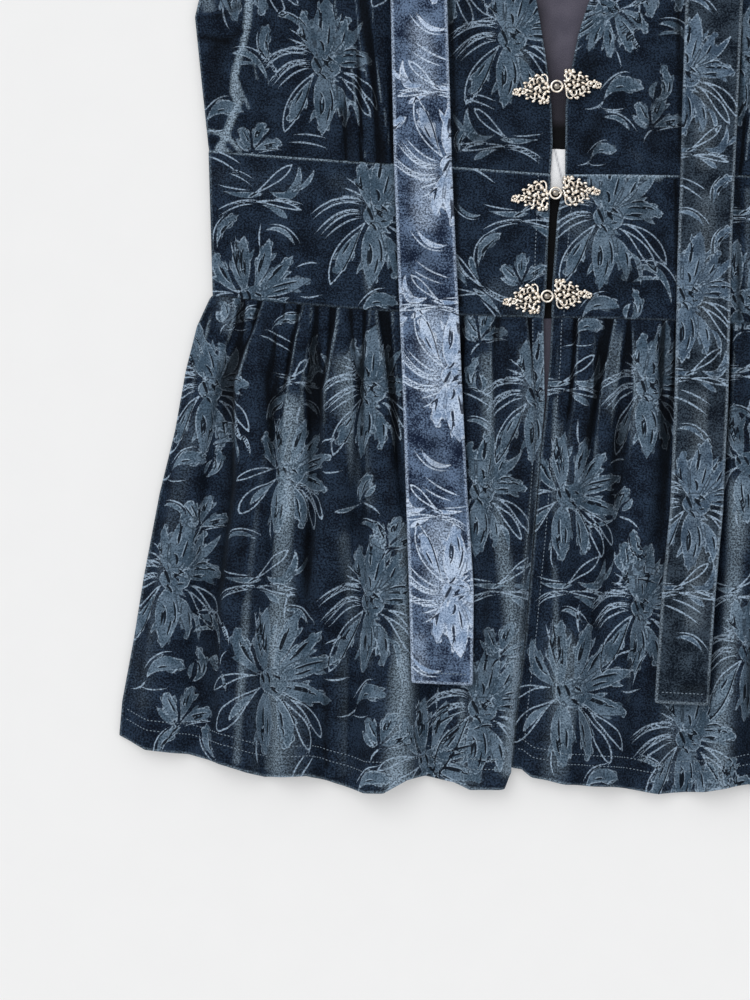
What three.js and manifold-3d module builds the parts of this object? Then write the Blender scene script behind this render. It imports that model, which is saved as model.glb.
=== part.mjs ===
// Sleeveless velour peplum top with a clasped front and two long ties, laid flat and face up.
// Millimetres. X runs across, towards the wearer's left, Y runs up towards the neck from the waist
// seam, and Z is the height over the table. "Out" is the distance from the middle line, the same
// for both fronts. "Down" is the distance below the waist seam, and is negative above it.

import * as THREE from 'three';
import { mergeVertices } from 'three/addons/utils/BufferGeometryUtils.js';
import Module from 'manifold-3d';

const wasm = await Module();
wasm.setup();

// Driving dimensions
const VELOUR = 1.5; // wall of a single layer, pile included
const BAND = 2.0; // wall of the waistband, which is faced
const TIE = 2.4; // wall of a tie, two layers turned right side out
const LABEL = { wide: 16, high: 24, wall: 1.0, top: -16 };
const GAP = 0.3; // between pieces at their seams and where they lie on each other
const LOFT = 1.6; // how much further the fronts stand off the back in the middle
const SEAM_RISE = 0.75; // the single layers rise to the middle of the thicker band
const SEAM_REACH = 25; // length over which they do so
const BAND_HIGH = 78; // waistband
const CLASP = { tilt: 8, plateLong: 21.4, plateWide: 16.4, plateThick: 1.1, ringRadius: 3.1 };

// Side seam and armhole, from the hem up to the shoulder tip
const SIDE = [
  { down: 321.4, out: 229 },
  { down: 302.7, out: 228.3 },
  { down: 267.3, out: 223.4 },
  { down: 232.8, out: 219.5 },
  { down: 186.1, out: 212.9 },
  { down: 150.4, out: 205.9 },
  { down: 116.3, out: 201.4 },
  { down: 91.8, out: 196.4 },
  { down: 76.2, out: 190.1 },
  { down: 74, out: 188.3 },
  { down: -6, out: 194.4 },
  { down: -42, out: 200 },
  { down: -80, out: 205.7 },
  { down: -92, out: 203.5 },
  { down: -110, out: 193 },
  { down: -135, out: 180 },
  { down: -170, out: 168.5 },
  { down: -215, out: 160 },
  { down: -262, out: 155 },
];

// Opening and V neck: x of the gap's middle, and the width of the gap
const OPENING = [
  { down: 330, middle: -10.6, gap: 0.8 },
  { down: 300, middle: -9.5, gap: 0.7 },
  { down: 250, middle: -5.8, gap: 0.7 },
  { down: 200, middle: -3.7, gap: 0.7 },
  { down: 150, middle: -2.0, gap: 0.7 },
  { down: 125, middle: -0.7, gap: 1.4 },
  { down: 100, middle: -1.2, gap: 3.7 },
  { down: 80, middle: -1.9, gap: 5.0 },
  { down: 60, middle: -1.8, gap: 4.0 },
  { down: 40, middle: -1.7, gap: 4.9 },
  { down: 20, middle: -1.4, gap: 5.4 },
  { down: 0, middle: 0, gap: 8.7 },
  { down: -20, middle: -0.2, gap: 7.4 },
  { down: -40, middle: -1.4, gap: 8.2 },
  { down: -60, middle: -1.9, gap: 13.4 },
  { down: -80, middle: -2.4, gap: 20.6 },
  { down: -98, middle: -2.0, gap: 29.4 },
  { down: -125, middle: -1, gap: 58 },
  { down: -165, middle: 0, gap: 100 },
  { down: -215, middle: 0, gap: 140 },
  { down: -275, middle: 0, gap: 164 },
];

// Upper and lower seam of the waistband, from side seam to side seam: distances down
const BAND_SEAMS = [
  { x: -195, top: -6, low: 74.5 },
  { x: -150, top: -4.5, low: 76.9 },
  { x: -100, top: -3.3, low: 78.6 },
  { x: -60, top: -3.2, low: 79.2 },
  { x: -30, top: -2.4, low: 79 },
  { x: 0, top: -1.6, low: 78.2 },
  { x: 30, top: -3, low: 77.2 },
  { x: 67, top: -4.3, low: 76.6 },
  { x: 101, top: -6, low: 76.6 },
  { x: 150, top: -7.2, low: 75.6 },
  { x: 195, top: -8, low: 74 },
];
const SHOULDER = { tipOut: 155, tipDown: -262, neckOut: 82, neckDown: -275 };
const BACK_NECK_DOWN = -258;
const HEM_SIDE = 321.4; // how far down the hem lies at the side seams
const HEM_OPENING = 329; // and at the opening
const BACK_HEM = { middle: 337, side: 323, wave: 2.5, waveHalf: 44 };
const BACK_LIFT = { middle: -2, high: 14, wide: 20 }; // where it rises behind the opening

// Hem outlines, from the opening to the side. The flutes make them wave.
const HEM_RIGHT = [
  { out: 10, down: 329 },
  { out: 15.6, down: 341 },
  { out: 33, down: 342 },
  { out: 42, down: 338 },
  { out: 58, down: 335.7 },
  { out: 68, down: 338 },
  { out: 81, down: 345.8 },
  { out: 92, down: 346.3 },
  { out: 103, down: 343 },
  { out: 123, down: 338.4 },
  { out: 147, down: 340.6 },
  { out: 167, down: 335 },
  { out: 190, down: 330 },
  { out: 214, down: 328.4 },
  { out: 229, down: 321.4 },
];
const HEM_LEFT = [
  { out: -11, down: 329 },
  { out: -4, down: 329.4 },
  { out: 2, down: 333.6 },
  { out: 21, down: 336.8 },
  { out: 46, down: 336.5 },
  { out: 72, down: 339.6 },
  { out: 97, down: 336.9 },
  { out: 122, down: 331.7 },
  { out: 143, down: 339 },
  { out: 163, down: 333 },
  { out: 186, down: 335.5 },
  { out: 210, down: 327 },
  { out: 229, down: 321.4 },
];

// Stations down the peplum at which its folds are given, as shares of its length
const STATIONS = [0, 0.18, 0.4, 0.67, 1];

// Folds of each front peplum, from the side seam to the opening. Each fold stands up between two
// edges: side is the edge next to the side seam, front the edge next to the opening, both given as
// distances out at the five stations, and high is its height there.
const FOLDS_RIGHT = [
  { side: [187, 199, 207, 214, 220], front: [174, 184, 190, 193, 195], high: [2.4, 5.5, 7, 7, 7] },
  { side: [168, 170, 172, 173, 173], front: [164, 166, 168, 169, 169], high: [2, 1, 0, 0, 0] },
  { side: [159, 173, 170, 175, 174], front: [152, 157, 150, 153, 151], high: [3, 7, 8, 9, 10] },
  { side: [147, 150, 150, 150, 150], front: [143, 146, 146, 146, 146], high: [2.4, 1.5, 0, 0, 0] },
  { side: [138, 144.5, 148, 150, 141], front: [132, 135, 130, 131, 117], high: [3, 7, 8, 8, 8] },
  { side: [128, 127, 126, 126, 126], front: [124, 123, 122, 122, 122], high: [2.4, 1, 0, 0, 0] },
  { side: [118, 124, 122, 129, 110], front: [113.5, 107, 106, 110, 96], high: [3, 7, 7.5, 6, 3] },
  { side: [109, 107, 105, 105, 105], front: [105, 103, 101, 101, 101], high: [2, 0.8, 0, 0, 0] },
  { side: [102, 102, 98, 93, 95], front: [97, 88, 80, 68, 64], high: [3, 6.5, 7, 10, 12] },
  { side: [89, 84, 76, 70, 70], front: [83, 76, 68, 64, 64], high: [3, 5.5, 4, 0, 0] },
  { side: [76, 70, 62, 56, 52], front: [70, 62, 52, 44, 37], high: [3, 5, 6, 7, 7] },
  { side: [61, 58, 56, 56, 56], front: [56, 53, 51, 51, 51], high: [2.6, 2, 0, 0, 0] },
  { side: [47, 47, 42, 38, 34], front: [34, 31, 31, 30, 26], high: [2.6, 5.5, 5, 5, 5] },
  { side: [24, 20, 25, 26, 24], front: [15, 8, 8, 10, 14], high: [2.6, 4, 6, 8, 9] },
];
const FOLDS_LEFT = [
  { side: [188, 196, 205, 213, 219], front: [173, 181, 189, 194, 197], high: [2.4, 5, 6.5, 7, 7] },
  { side: [166, 168, 170, 171, 172], front: [162, 164, 166, 167, 168], high: [2, 1.5, 0, 0, 0] },
  { side: [156, 168, 172, 174, 172], front: [148, 155, 154, 152, 148], high: [3, 6.5, 8, 8, 9] },
  { side: [143, 144, 145, 145, 145], front: [139, 140, 141, 141, 141], high: [2.4, 1, 0, 0, 0] },
  { side: [134, 138, 143, 141, 146], front: [127, 127, 128, 124, 126], high: [3, 7, 7, 8, 9] },
  { side: [122, 123, 122, 121, 120], front: [117, 118, 117, 116, 115], high: [2.4, 2.6, 2, 0, 0] },
  { side: [113, 114, 117, 118, 112], front: [102, 102, 103, 103, 92], high: [3, 5.5, 6.5, 9, 10] },
  { side: [95, 94, 92, 88, 84], front: [89, 87, 84, 81, 77], high: [2.6, 5, 4, 2, 0] },
  { side: [80, 79, 78, 74, 72], front: [74, 71, 69, 66, 64], high: [3, 5, 4.5, 4, 3] },
  { side: [68, 68, 67, 64, 60], front: [64, 64, 63, 60, 56], high: [2, 1, 0, 0, 0] },
  { side: [57, 62, 61.5, 54, 48.5], front: [46, 48, 44, 36, 30], high: [3, 6, 7, 9, 11] },
  { side: [42, 38, 36, 30, 24], front: [36, 29, 26, 20, 14], high: [3, 6, 5, 4, 3] },
  { side: [26, 25.5, 18, 12, 6], front: [16, 15, 8, 2, -5], high: [2.6, 5, 5, 6, 6] },
  { side: [12.5, 11.5, 8, 6, 4], front: [4, 4, 3, 1, -1], high: [2.4, 3, 1.5, 0, 0] },
];
const FLANK = { waist: 3.2, hem: 8 }; // half the width of a fold's slope
const SIDE_FLAT = 9; // width next to the side seam over which the folds rise

// Low folds of the back peplum: x at the waist and the hem, half widths and heights there. It lies
// flat on the table between them.
const BACK_FOLDS = [
  { waist: -152, hem: -176, halfWide: 17, waistHigh: 2.0, hemHigh: 3.2 },
  { waist: -112, hem: -131, halfWide: 18, waistHigh: 2.6, hemHigh: 3.8 },
  { waist: -70, hem: -84, halfWide: 16, waistHigh: 2.4, hemHigh: 3.0 },
  { waist: -26, hem: -33, halfWide: 18, waistHigh: 2.8, hemHigh: 4.0 },
  { waist: 17, hem: 16, halfWide: 17, waistHigh: 2.4, hemHigh: 3.4 },
  { waist: 60, hem: 67, halfWide: 18, waistHigh: 2.6, hemHigh: 4.0 },
  { waist: 104, hem: 121, halfWide: 17, waistHigh: 2.6, hemHigh: 3.4 },
  { waist: 150, hem: 172, halfWide: 17, waistHigh: 2.0, hemHigh: 3.0 },
];

// Gathers under the bust, the same for both fronts: distance out at the waist seam and 100 mm
// above it, height at the seam, and how far up the gather runs.
const BUST_GATHERS = [
  { waist: 122, above: 128, high: 1.8, reach: 80 },
  { waist: 113.5, above: 121.5, high: 2.8, reach: 135 },
  { waist: 104.5, above: 113, high: 3.0, reach: 150 },
  { waist: 96.5, above: 103.5, high: 2.8, reach: 140 },
  { waist: 88, above: 92, high: 2.4, reach: 110 },
  { waist: 79, above: 82, high: 2.4, reach: 120 },
  { waist: 70, above: 72, high: 2.0, reach: 90 },
];
const GATHER_HALF_WIDE = 4.6;
const BUST = { out: 112, down: -132, wide: 78, high: 92, rise: 3.4 }; // fullness over the bust
const SIDE_FOLD = { waist: 182, above: 175.5, halfWide: 9, rise: 2.2, reach: 190 };

// Each tie, from the neck point to its free end: distance out of its middle and half its width
const TIE_RIGHT = [
  { down: -268, out: 84.5, half: 14.8 },
  { down: -180, out: 83, half: 15 },
  { down: -95, out: 81.9, half: 15.1 },
  { down: 0, out: 75, half: 15.5 },
  { down: 60, out: 69.6, half: 15.8 },
  { down: 120, out: 64.3, half: 15.9 },
  { down: 180, out: 59, half: 16.5 },
  { down: 230, out: 54.2, half: 17.4 },
  { down: 283.5, out: 51.3, half: 16.4 },
];
const TIE_LEFT = [
  { down: -268, out: 84.5, half: 14.6 },
  { down: -180, out: 83, half: 15 },
  { down: -95, out: 82, half: 15.2 },
  { down: 0, out: 82.9, half: 14.4 },
  { down: 60, out: 83.8, half: 14.3 },
  { down: 120, out: 85, half: 14.2 },
  { down: 180, out: 85.3, half: 14 },
  { down: 230, out: 83, half: 14.2 },
  { down: 288.5, out: 81.9, half: 14.3 },
];
const TIE_STEPS = 26;

// Clasps: x of the ring's middle, its distance down, and what the clasp is sewn on
const CLASPS = [
  { name: 'top', x: -3.0, down: -50.4, on: 'bodice_front' },
  { name: 'middle', x: -0.9, down: 8.9, on: 'waistband_front' },
  { name: 'bottom', x: -2.9, down: 66.4, on: 'waistband_front' },
];
const CLASP_REACH = { x: 34, y: 40 }; // the points under a clasp lie within this of its middle

// Rows and columns of the walls
const FRONT_COLUMNS = 58;
const BACK_COLUMNS = 56;
const PEPLUM_ROWS = [0, 0.04, 0.1, 0.18, 0.28, 0.4, 0.54, 0.7, 0.86, 1];
const BACK_ROWS = [0, 0.1, 0.25, 0.5, 0.75, 1];

// Finishes
function finish(color, roughness, metalness) {
  return new THREE.MeshStandardMaterial({ color, roughness, metalness });
}
const velour = finish(0x2c3d52, 0.85, 0);
const velourInside = finish(0x45444f, 0.9, 0);
const paleMetal = finish(0xd9cfc0, 0.3, 1);
const whiteSatin = finish(0xe9eaec, 0.6, 0);

const { clamp, lerp, smoothstep } = THREE.MathUtils;

// Straight-line reading of a table: the value of one column where another column has a given value
function read(table, keyColumn, key, column) {
  const rows = table[0][keyColumn] < table[table.length - 1][keyColumn] ? table : [...table].reverse();
  let next = rows.findIndex((row) => row[keyColumn] >= key);
  if (next < 0) {
    next = rows.length - 1;
  }
  const after = rows[Math.max(next, 1)];
  const before = rows[Math.max(next, 1) - 1];
  const share = clamp((key - before[keyColumn]) / (after[keyColumn] - before[keyColumn]), 0, 1);
  return lerp(before[column], after[column], share);
}

const sideOut = (down) => read(SIDE, 'down', down, 'out');

// Distance out of a front's opening edge; hand is -1 for the wearer's right front, 1 for the left
function openingOut(hand, down) {
  const middle = read(OPENING, 'down', down, 'middle');
  const gap = read(OPENING, 'down', down, 'gap');
  return hand * middle + gap / 2;
}

const waistTop = (x) => read(BAND_SEAMS, 'x', x, 'top');
const waistLow = (x) => read(BAND_SEAMS, 'x', x, 'low');

// Height of a fold between its two edges: a smooth step up at each
function step(distance, flank) {
  return 0.5 + 0.5 * Math.sin((Math.PI / 2) * clamp(distance / flank, -1, 1));
}

function atStations(values, share) {
  let next = 1;
  while (next < STATIONS.length - 1 && STATIONS[next] < share) {
    next += 1;
  }
  const along = (share - STATIONS[next - 1]) / (STATIONS[next] - STATIONS[next - 1]);
  return lerp(values[next - 1], values[next], clamp(along, 0, 1));
}

function peplumFolds(folds, out, share) {
  const flank = lerp(FLANK.waist, FLANK.hem, share);
  let height = 0;
  for (const fold of folds) {
    const toSide = step(atStations(fold.side, share) - out, flank);
    const toFront = step(out - atStations(fold.front, share), flank);
    height += atStations(fold.high, share) * toSide * toFront;
  }
  return height;
}

function backFolds(x, share) {
  let height = 0;
  for (const fold of BACK_FOLDS) {
    const away = Math.abs(x - lerp(fold.waist, fold.hem, share)) / fold.halfWide;
    const bump = away < 1 ? Math.cos((Math.PI / 2) * away) ** 2 : 0;
    height += lerp(fold.waistHigh, fold.hemHigh, share) * smoothstep(share, 0, 0.12) * bump;
  }
  return height;
}

// How far the fronts stand off the back at a point, besides the gap
function loft(x, down) {
  return LOFT * Math.max(0, 1 - (x / sideOut(down)) ** 2);
}

function seamRise(distance) {
  return SEAM_RISE * Math.exp(-((distance / SEAM_REACH) ** 2));
}

function bustGathers(out, above) {
  let height = 0;
  for (const gather of BUST_GATHERS) {
    const crest = gather.waist + ((gather.above - gather.waist) * above) / 100;
    const away = Math.abs(out - crest) / GATHER_HALF_WIDE;
    const fade = 1 - smoothstep(above, 0.3 * gather.reach, gather.reach);
    height += away < 1 ? gather.high * fade * Math.cos((Math.PI / 2) * away) ** 2 : 0;
  }
  return height;
}

function bodiceFrontHeight(out, down) {
  const above = -down;
  const acrossBust = ((out - BUST.out) / BUST.wide) ** 2 + ((down - BUST.down) / BUST.high) ** 2;
  const bust = BUST.rise * Math.max(0, 1 - acrossBust) ** 2;
  const crest = SIDE_FOLD.waist + ((SIDE_FOLD.above - SIDE_FOLD.waist) * above) / 100;
  const away = Math.min(1, Math.abs(out - crest) / SIDE_FOLD.halfWide);
  const sideFold = SIDE_FOLD.rise * Math.cos((Math.PI / 2) * away) ** 2 * (1 - smoothstep(above, 60, 120));
  return bust + sideFold + bustGathers(out, above);
}

// A wall of even thickness round a middle surface. point(s, t) gives the surface over a grid of
// shares, s across and t along; the two sides lie half a thickness off it, square to it.
function wall(name, material, thickness, columns, rows, point) {
  const grid = rows.map((t) => columns.map((s) => point(s, t)));
  const lastRow = rows.length - 1;
  const lastColumn = columns.length - 1;
  const upper = [];
  const lower = [];
  for (let j = 0; j <= lastRow; j += 1) {
    for (let i = 0; i <= lastColumn; i += 1) {
      const across = grid[j][Math.min(i + 1, lastColumn)].clone().sub(grid[j][Math.max(i - 1, 0)]);
      const along = grid[Math.min(j + 1, lastRow)][i].clone().sub(grid[Math.max(j - 1, 0)][i]);
      const normal = across.cross(along);
      normal.x = i === 0 || i === lastColumn ? 0 : normal.x;
      normal.y = j === 0 || j === lastRow ? 0 : normal.y;
      normal.setLength((Math.sign(normal.z) * thickness) / 2);
      upper.push(grid[j][i].clone().add(normal));
      lower.push(grid[j][i].clone().sub(normal));
    }
  }
  const wide = columns.length;
  const count = upper.length;
  const faces = [];
  const quad = (a, b, c, d) => faces.push(a, b, c, a, c, d);
  for (let j = 0; j < lastRow; j += 1) {
    for (let i = 0; i < lastColumn; i += 1) {
      const corner = j * wide + i;
      quad(corner, corner + 1, corner + wide + 1, corner + wide);
      quad(count + corner, count + corner + wide, count + corner + wide + 1, count + corner + 1);
    }
  }
  const rim = [];
  for (let i = 0; i < lastColumn; i += 1) {
    rim.push(i);
  }
  for (let j = 0; j < lastRow; j += 1) {
    rim.push(j * wide + lastColumn);
  }
  for (let i = lastColumn; i > 0; i -= 1) {
    rim.push(lastRow * wide + i);
  }
  for (let j = lastRow; j > 0; j -= 1) {
    rim.push(j * wide);
  }
  rim.forEach((from, index) => {
    const to = rim[(index + 1) % rim.length];
    quad(from, count + from, count + to, to);
  });
  const geometry = new THREE.BufferGeometry();
  const places = [...upper, ...lower].flatMap((p) => p.toArray());
  geometry.setAttribute('position', new THREE.Float32BufferAttribute(places, 3));
  geometry.setIndex(faces);
  if (signedVolume(geometry) < 0) {
    geometry.setIndex(faces.reverse());
  }
  geometry.computeVertexNormals();
  const mesh = new THREE.Mesh(geometry, material);
  mesh.name = name;
  mesh.userData.top = upper;
  return mesh;
}

function signedVolume(geometry) {
  const corner = [new THREE.Vector3(), new THREE.Vector3(), new THREE.Vector3()];
  const index = geometry.getIndex();
  let sum = 0;
  for (let i = 0; i < index.count; i += 3) {
    corner.forEach((p, k) => p.fromBufferAttribute(geometry.getAttribute('position'), index.getX(i + k)));
    sum += corner[0].dot(corner[1].clone().cross(corner[2]));
  }
  return sum / 6;
}

const even = (count) => Array.from({ length: count + 1 }, (_, i) => i / count);
const tableShares = (from, to) => SIDE.filter((row) => row.down <= from && row.down >= to)
  .map((row) => (row.down - from) / (to - from));

// Top edge of the bodice: the shoulder seam, and inside it the back's neckline
function bodiceTop(out) {
  if (out < SHOULDER.neckOut) {
    return lerp(BACK_NECK_DOWN, SHOULDER.neckDown, (out / SHOULDER.neckOut) ** 2);
  }
  const share = (out - SHOULDER.neckOut) / (SHOULDER.tipOut - SHOULDER.neckOut);
  return lerp(SHOULDER.neckDown, SHOULDER.tipDown, share);
}

const bodiceShares = [0, 0.06, ...tableShares(BAND_SEAMS[0].top, SHOULDER.tipDown)];
const bodiceRows = [...new Set(bodiceShares)].sort((a, b) => a - b);

function bodiceBack() {
  const point = (s, t) => {
    const share = 2 * s - 1;
    const seam = waistTop(share * sideOut(0)) - GAP / 2;
    const down = lerp(seam, bodiceTop(Math.abs(share) * SHOULDER.tipOut), t);
    return new THREE.Vector3(share * sideOut(down), -down, VELOUR / 2);
  };
  return wall('bodice_back', velourInside, VELOUR, even(20), bodiceRows, point);
}

function bodiceFront(hand, name) {
  const point = (s, t) => {
    const topOut = lerp(SHOULDER.neckOut, SHOULDER.tipOut, s);
    const seam = waistTop(hand * lerp(openingOut(hand, 0), sideOut(0), s)) - GAP / 2;
    const down = lerp(seam, bodiceTop(topOut), t);
    const out = lerp(openingOut(hand, down), sideOut(down), s);
    const rest = VELOUR + GAP + loft(out, down) + seamRise(down - seam);
    return new THREE.Vector3(hand * out, -down, rest + bodiceFrontHeight(out, down) + VELOUR / 2);
  };
  const rows = [0, 0.05, 0.1, ...bodiceRows.filter((t) => t > 0.12)];
  return wall(name, velour, VELOUR, even(34), rows, point);
}

// Waistband
function waistbandBack() {
  const point = (s, t) => {
    const share = 2 * s - 1;
    const top = waistTop(share * sideOut(0)) + GAP / 2;
    const low = waistLow(share * sideOut(BAND_HIGH)) - GAP / 2;
    const down = lerp(top, low, t);
    return new THREE.Vector3(share * sideOut(down), -down, BAND / 2);
  };
  return wall('waistband_back', velourInside, BAND, even(14), even(3), point);
}

function waistbandFront(hand, name) {
  const point = (s, t) => {
    const outTop = lerp(openingOut(hand, 0), sideOut(0), s);
    const outLow = lerp(openingOut(hand, BAND_HIGH), sideOut(BAND_HIGH), s);
    const down = lerp(waistTop(hand * outTop) + GAP / 2, waistLow(hand * outLow) - GAP / 2, t);
    const out = lerp(openingOut(hand, down), sideOut(down), s);
    return new THREE.Vector3(hand * out, -down, BAND + GAP + loft(out, down) + BAND / 2);
  };
  return wall(name, velour, BAND, even(12), even(4), point);
}

// Peplum
function peplumBack() {
  const hemDown = (x) => lerp(BACK_HEM.middle, BACK_HEM.side, (x / sideOut(HEM_SIDE)) ** 2)
    + BACK_HEM.wave * Math.cos((x / BACK_HEM.waveHalf) * Math.PI)
    - BACK_LIFT.high * Math.exp(-(((x - BACK_LIFT.middle) / BACK_LIFT.wide) ** 2));
  const point = (s, t) => {
    const share = 2 * s - 1;
    const seam = waistLow(share * sideOut(BAND_HIGH)) + GAP / 2;
    const x = share * sideOut(lerp(seam, HEM_SIDE, t));
    return new THREE.Vector3(x, -lerp(seam, hemDown(x), t), VELOUR / 2 + backFolds(x, t));
  };
  return wall('peplum_back', velour, VELOUR, even(BACK_COLUMNS), BACK_ROWS, point);
}

function peplumFront(hand, name, folds, hem) {
  const point = (s, t) => {
    const edge = openingOut(hand, lerp(BAND_HIGH, HEM_OPENING, t));
    const side = sideOut(lerp(BAND_SEAMS[0].low, HEM_SIDE, t));
    const out = lerp(edge, side, s);
    const hemOut = lerp(openingOut(hand, HEM_OPENING), sideOut(HEM_SIDE), s);
    const seam = waistLow(hand * lerp(openingOut(hand, BAND_HIGH), sideOut(BAND_HIGH), s)) + GAP / 2;
    const down = lerp(seam, read(hem, 'out', hemOut, 'down'), t);
    const rest = VELOUR + GAP + loft(out, down) + seamRise(down - seam) + backFolds(hand * out, t);
    const atSide = smoothstep(side - out, 0, SIDE_FLAT);
    const height = peplumFolds(folds, out, t) * atSide;
    return new THREE.Vector3(hand * out, -down, rest + height + VELOUR / 2);
  };
  return wall(name, velour, VELOUR, even(FRONT_COLUMNS), PEPLUM_ROWS, point);
}

// Highest point of the pieces below within a rectangle; points is a list of their top points
function ceiling(points, x, y, reachX, reachY) {
  const near = points.filter((p) => Math.abs(p.x - x) <= reachX && Math.abs(p.y - y) <= reachY);
  return Math.max(...near.map((p) => p.z));
}

// Ties: they lie on the highest folds under them
function tie(hand, name, table, below) {
  const from = table[0].down;
  const to = table[table.length - 1].down;
  const pitch = (to - from) / TIE_STEPS;
  const point = (s, t) => {
    const down = lerp(from, to, t);
    const middle = hand * read(table, 'down', down, 'out');
    const half = read(table, 'down', down, 'half');
    const rest = ceiling(below, middle, -down, half + 4, pitch + 8) + GAP;
    return new THREE.Vector3(middle + (2 * s - 1) * half, -down, rest + TIE / 2);
  };
  return wall(name, velour, TIE, even(4), even(TIE_STEPS), point);
}

function label() {
  const point = (s, t) => {
    const down = LABEL.top + t * LABEL.high;
    return new THREE.Vector3((s - 0.5) * LABEL.wide + 1, -down, BAND + GAP + LABEL.wall / 2);
  };
  return wall('label', whiteSatin, LABEL.wall, even(2), even(2), point);
}

// Clasps: cast metal halves, each a leaf-shaped plate with scalloped edges, beads and curls
function toManifold(geometry) {
  const bare = geometry.clone();
  bare.deleteAttribute('normal');
  bare.deleteAttribute('uv');
  const merged = mergeVertices(bare, 1e-4);
  return new wasm.Manifold(new wasm.Mesh({
    numProp: 3,
    vertProperties: merged.getAttribute('position').array,
    triVerts: merged.getIndex().array,
  }));
}

function join(geometries) {
  const solids = geometries.map(toManifold);
  const whole = solids.reduce((sum, solid) => sum.add(solid));
  const result = whole.getMesh();
  const geometry = new THREE.BufferGeometry();
  geometry.setAttribute('position', new THREE.BufferAttribute(result.vertProperties, 3));
  geometry.setIndex(new THREE.BufferAttribute(result.triVerts, 1));
  geometry.computeVertexNormals();
  return geometry;
}

// Half width of the plate at a share of its length: widest near the ring, scalloped, round tip
function plateHalf(share) {
  const leaf = Math.sin(Math.PI * clamp(share, 0, 1) ** 0.55) ** 0.7;
  const scallop = 0.86 + 0.14 * Math.abs(Math.cos(Math.PI * 3.5 * share));
  return (CLASP.plateWide / 2) * leaf * scallop;
}

function plate() {
  const near = CLASP.ringRadius + 0.9;
  const steps = 14;
  const shape = new THREE.Shape();
  shape.moveTo(near, -1.2);
  for (let i = 1; i < steps; i += 1) {
    shape.lineTo(near + (CLASP.plateLong * i) / steps, -plateHalf(i / steps));
  }
  shape.lineTo(near + CLASP.plateLong, 0);
  for (let i = steps - 1; i > 0; i -= 1) {
    shape.lineTo(near + (CLASP.plateLong * i) / steps, plateHalf(i / steps));
  }
  shape.lineTo(near, 1.2);
  return new THREE.ExtrudeGeometry(shape, { depth: CLASP.plateThick, bevelEnabled: false });
}

// Beads on a plate: distance from the ring's middle, distance across, radius
const BEADS = [
  { along: 9.5, across: 4.6, radius: 1.9 },
  { along: 9.5, across: -4.6, radius: 1.9 },
  { along: 9, across: 0, radius: 1.7 },
  { along: 14.5, across: 2.9, radius: 1.8 },
  { along: 14.5, across: -2.9, radius: 1.8 },
  { along: 19.5, across: 0.4, radius: 1.8 },
];
const BEAD_FLAT = 0.75; // a bead's height as a share of its width

function beads() {
  return BEADS.map((bead) => {
    const ball = new THREE.IcosahedronGeometry(bead.radius, 0);
    ball.scale(1, 1, BEAD_FLAT);
    return ball.translate(bead.along, bead.across, bead.radius * BEAD_FLAT);
  });
}

// A curl that springs from the plate's inner corner, so far across from the clasp's line
function curl(across) {
  const arc = new THREE.TorusGeometry(1.7, 0.55, 4, 8);
  return arc.translate(5.9, across, 0.6);
}

function claspEye() {
  const ring = new THREE.TorusGeometry(CLASP.ringRadius, 0.7, 5, 12);
  const neck = new THREE.BoxGeometry(2.4, 2.2, 2.4);
  return join([plate(), ...beads(), curl(-6.2), ring.translate(0, 0, 2.2), neck.translate(4.6, 0, 1.2)]);
}

function claspHook() {
  const arm = new THREE.BoxGeometry(7, 1.6, 0.8);
  const stud = new THREE.SphereGeometry(1.6, 8, 5);
  const post = new THREE.CylinderGeometry(0.9, 0.9, 2, 6);
  post.rotateX(Math.PI / 2);
  const parts = [arm.translate(2.6, 0, 0.4), stud.translate(0, 0, 2.3), post.translate(0, 0, 1.4)];
  return join([plate(), ...beads(), curl(6.2), curl(-6.4), ...parts]);
}

function claspHalf(clasp, hand, name, geometry, height) {
  const mesh = new THREE.Mesh(geometry, paleMetal);
  mesh.name = name;
  mesh.position.set(clasp.x, -clasp.down, height);
  mesh.rotation.z = THREE.MathUtils.degToRad(CLASP.tilt + (hand < 0 ? 180 : 0));
  return mesh;
}

// Putting the top together
const garment = new THREE.Group();
const fronts = [
  bodiceFront(-1, 'bodice_front_right'),
  bodiceFront(1, 'bodice_front_left'),
  waistbandFront(-1, 'waistband_front_right'),
  waistbandFront(1, 'waistband_front_left'),
  peplumFront(-1, 'peplum_front_right', FOLDS_RIGHT, HEM_RIGHT),
  peplumFront(1, 'peplum_front_left', FOLDS_LEFT, HEM_LEFT),
];
const frontTops = fronts.flatMap((mesh) => mesh.userData.top);
garment.add(bodiceBack(), waistbandBack(), peplumBack(), label(), ...fronts);
garment.add(tie(-1, 'tie_right', TIE_RIGHT, frontTops));
garment.add(tie(1, 'tie_left', TIE_LEFT, frontTops));
for (const clasp of CLASPS) {
  const carriers = fronts.filter((mesh) => mesh.name.startsWith(clasp.on));
  const below = carriers.flatMap((mesh) => mesh.userData.top);
  const height = ceiling(below, clasp.x, -clasp.down, CLASP_REACH.x, CLASP_REACH.y) + GAP;
  garment.add(claspHalf(clasp, -1, `clasp_${clasp.name}_eye`, claspEye(), height));
  garment.add(claspHalf(clasp, 1, `clasp_${clasp.name}_hook`, claspHook(), height));
}

// The origin is under the middle of the garment's box, on the table
const group = new THREE.Group();
group.add(garment);
const box = new THREE.Box3().setFromObject(garment, true);
garment.position.set(-(box.min.x + box.max.x) / 2, -(box.min.y + box.max.y) / 2, -box.min.z);

export default group;
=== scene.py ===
"""Sleeveless velour top with a peplum, three clasps and two long ties, laid flat and face up.

Shapes are worked out in millimetres on the garment: x runs across, towards the wearer's left,
"out" is the distance from the middle line, the same for both fronts, and "down" is the distance
below the waist seam. Points are held as (x, up, height), where up is minus down.
"""

import logging
import math
from dataclasses import dataclass, field
from enum import Enum

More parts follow.
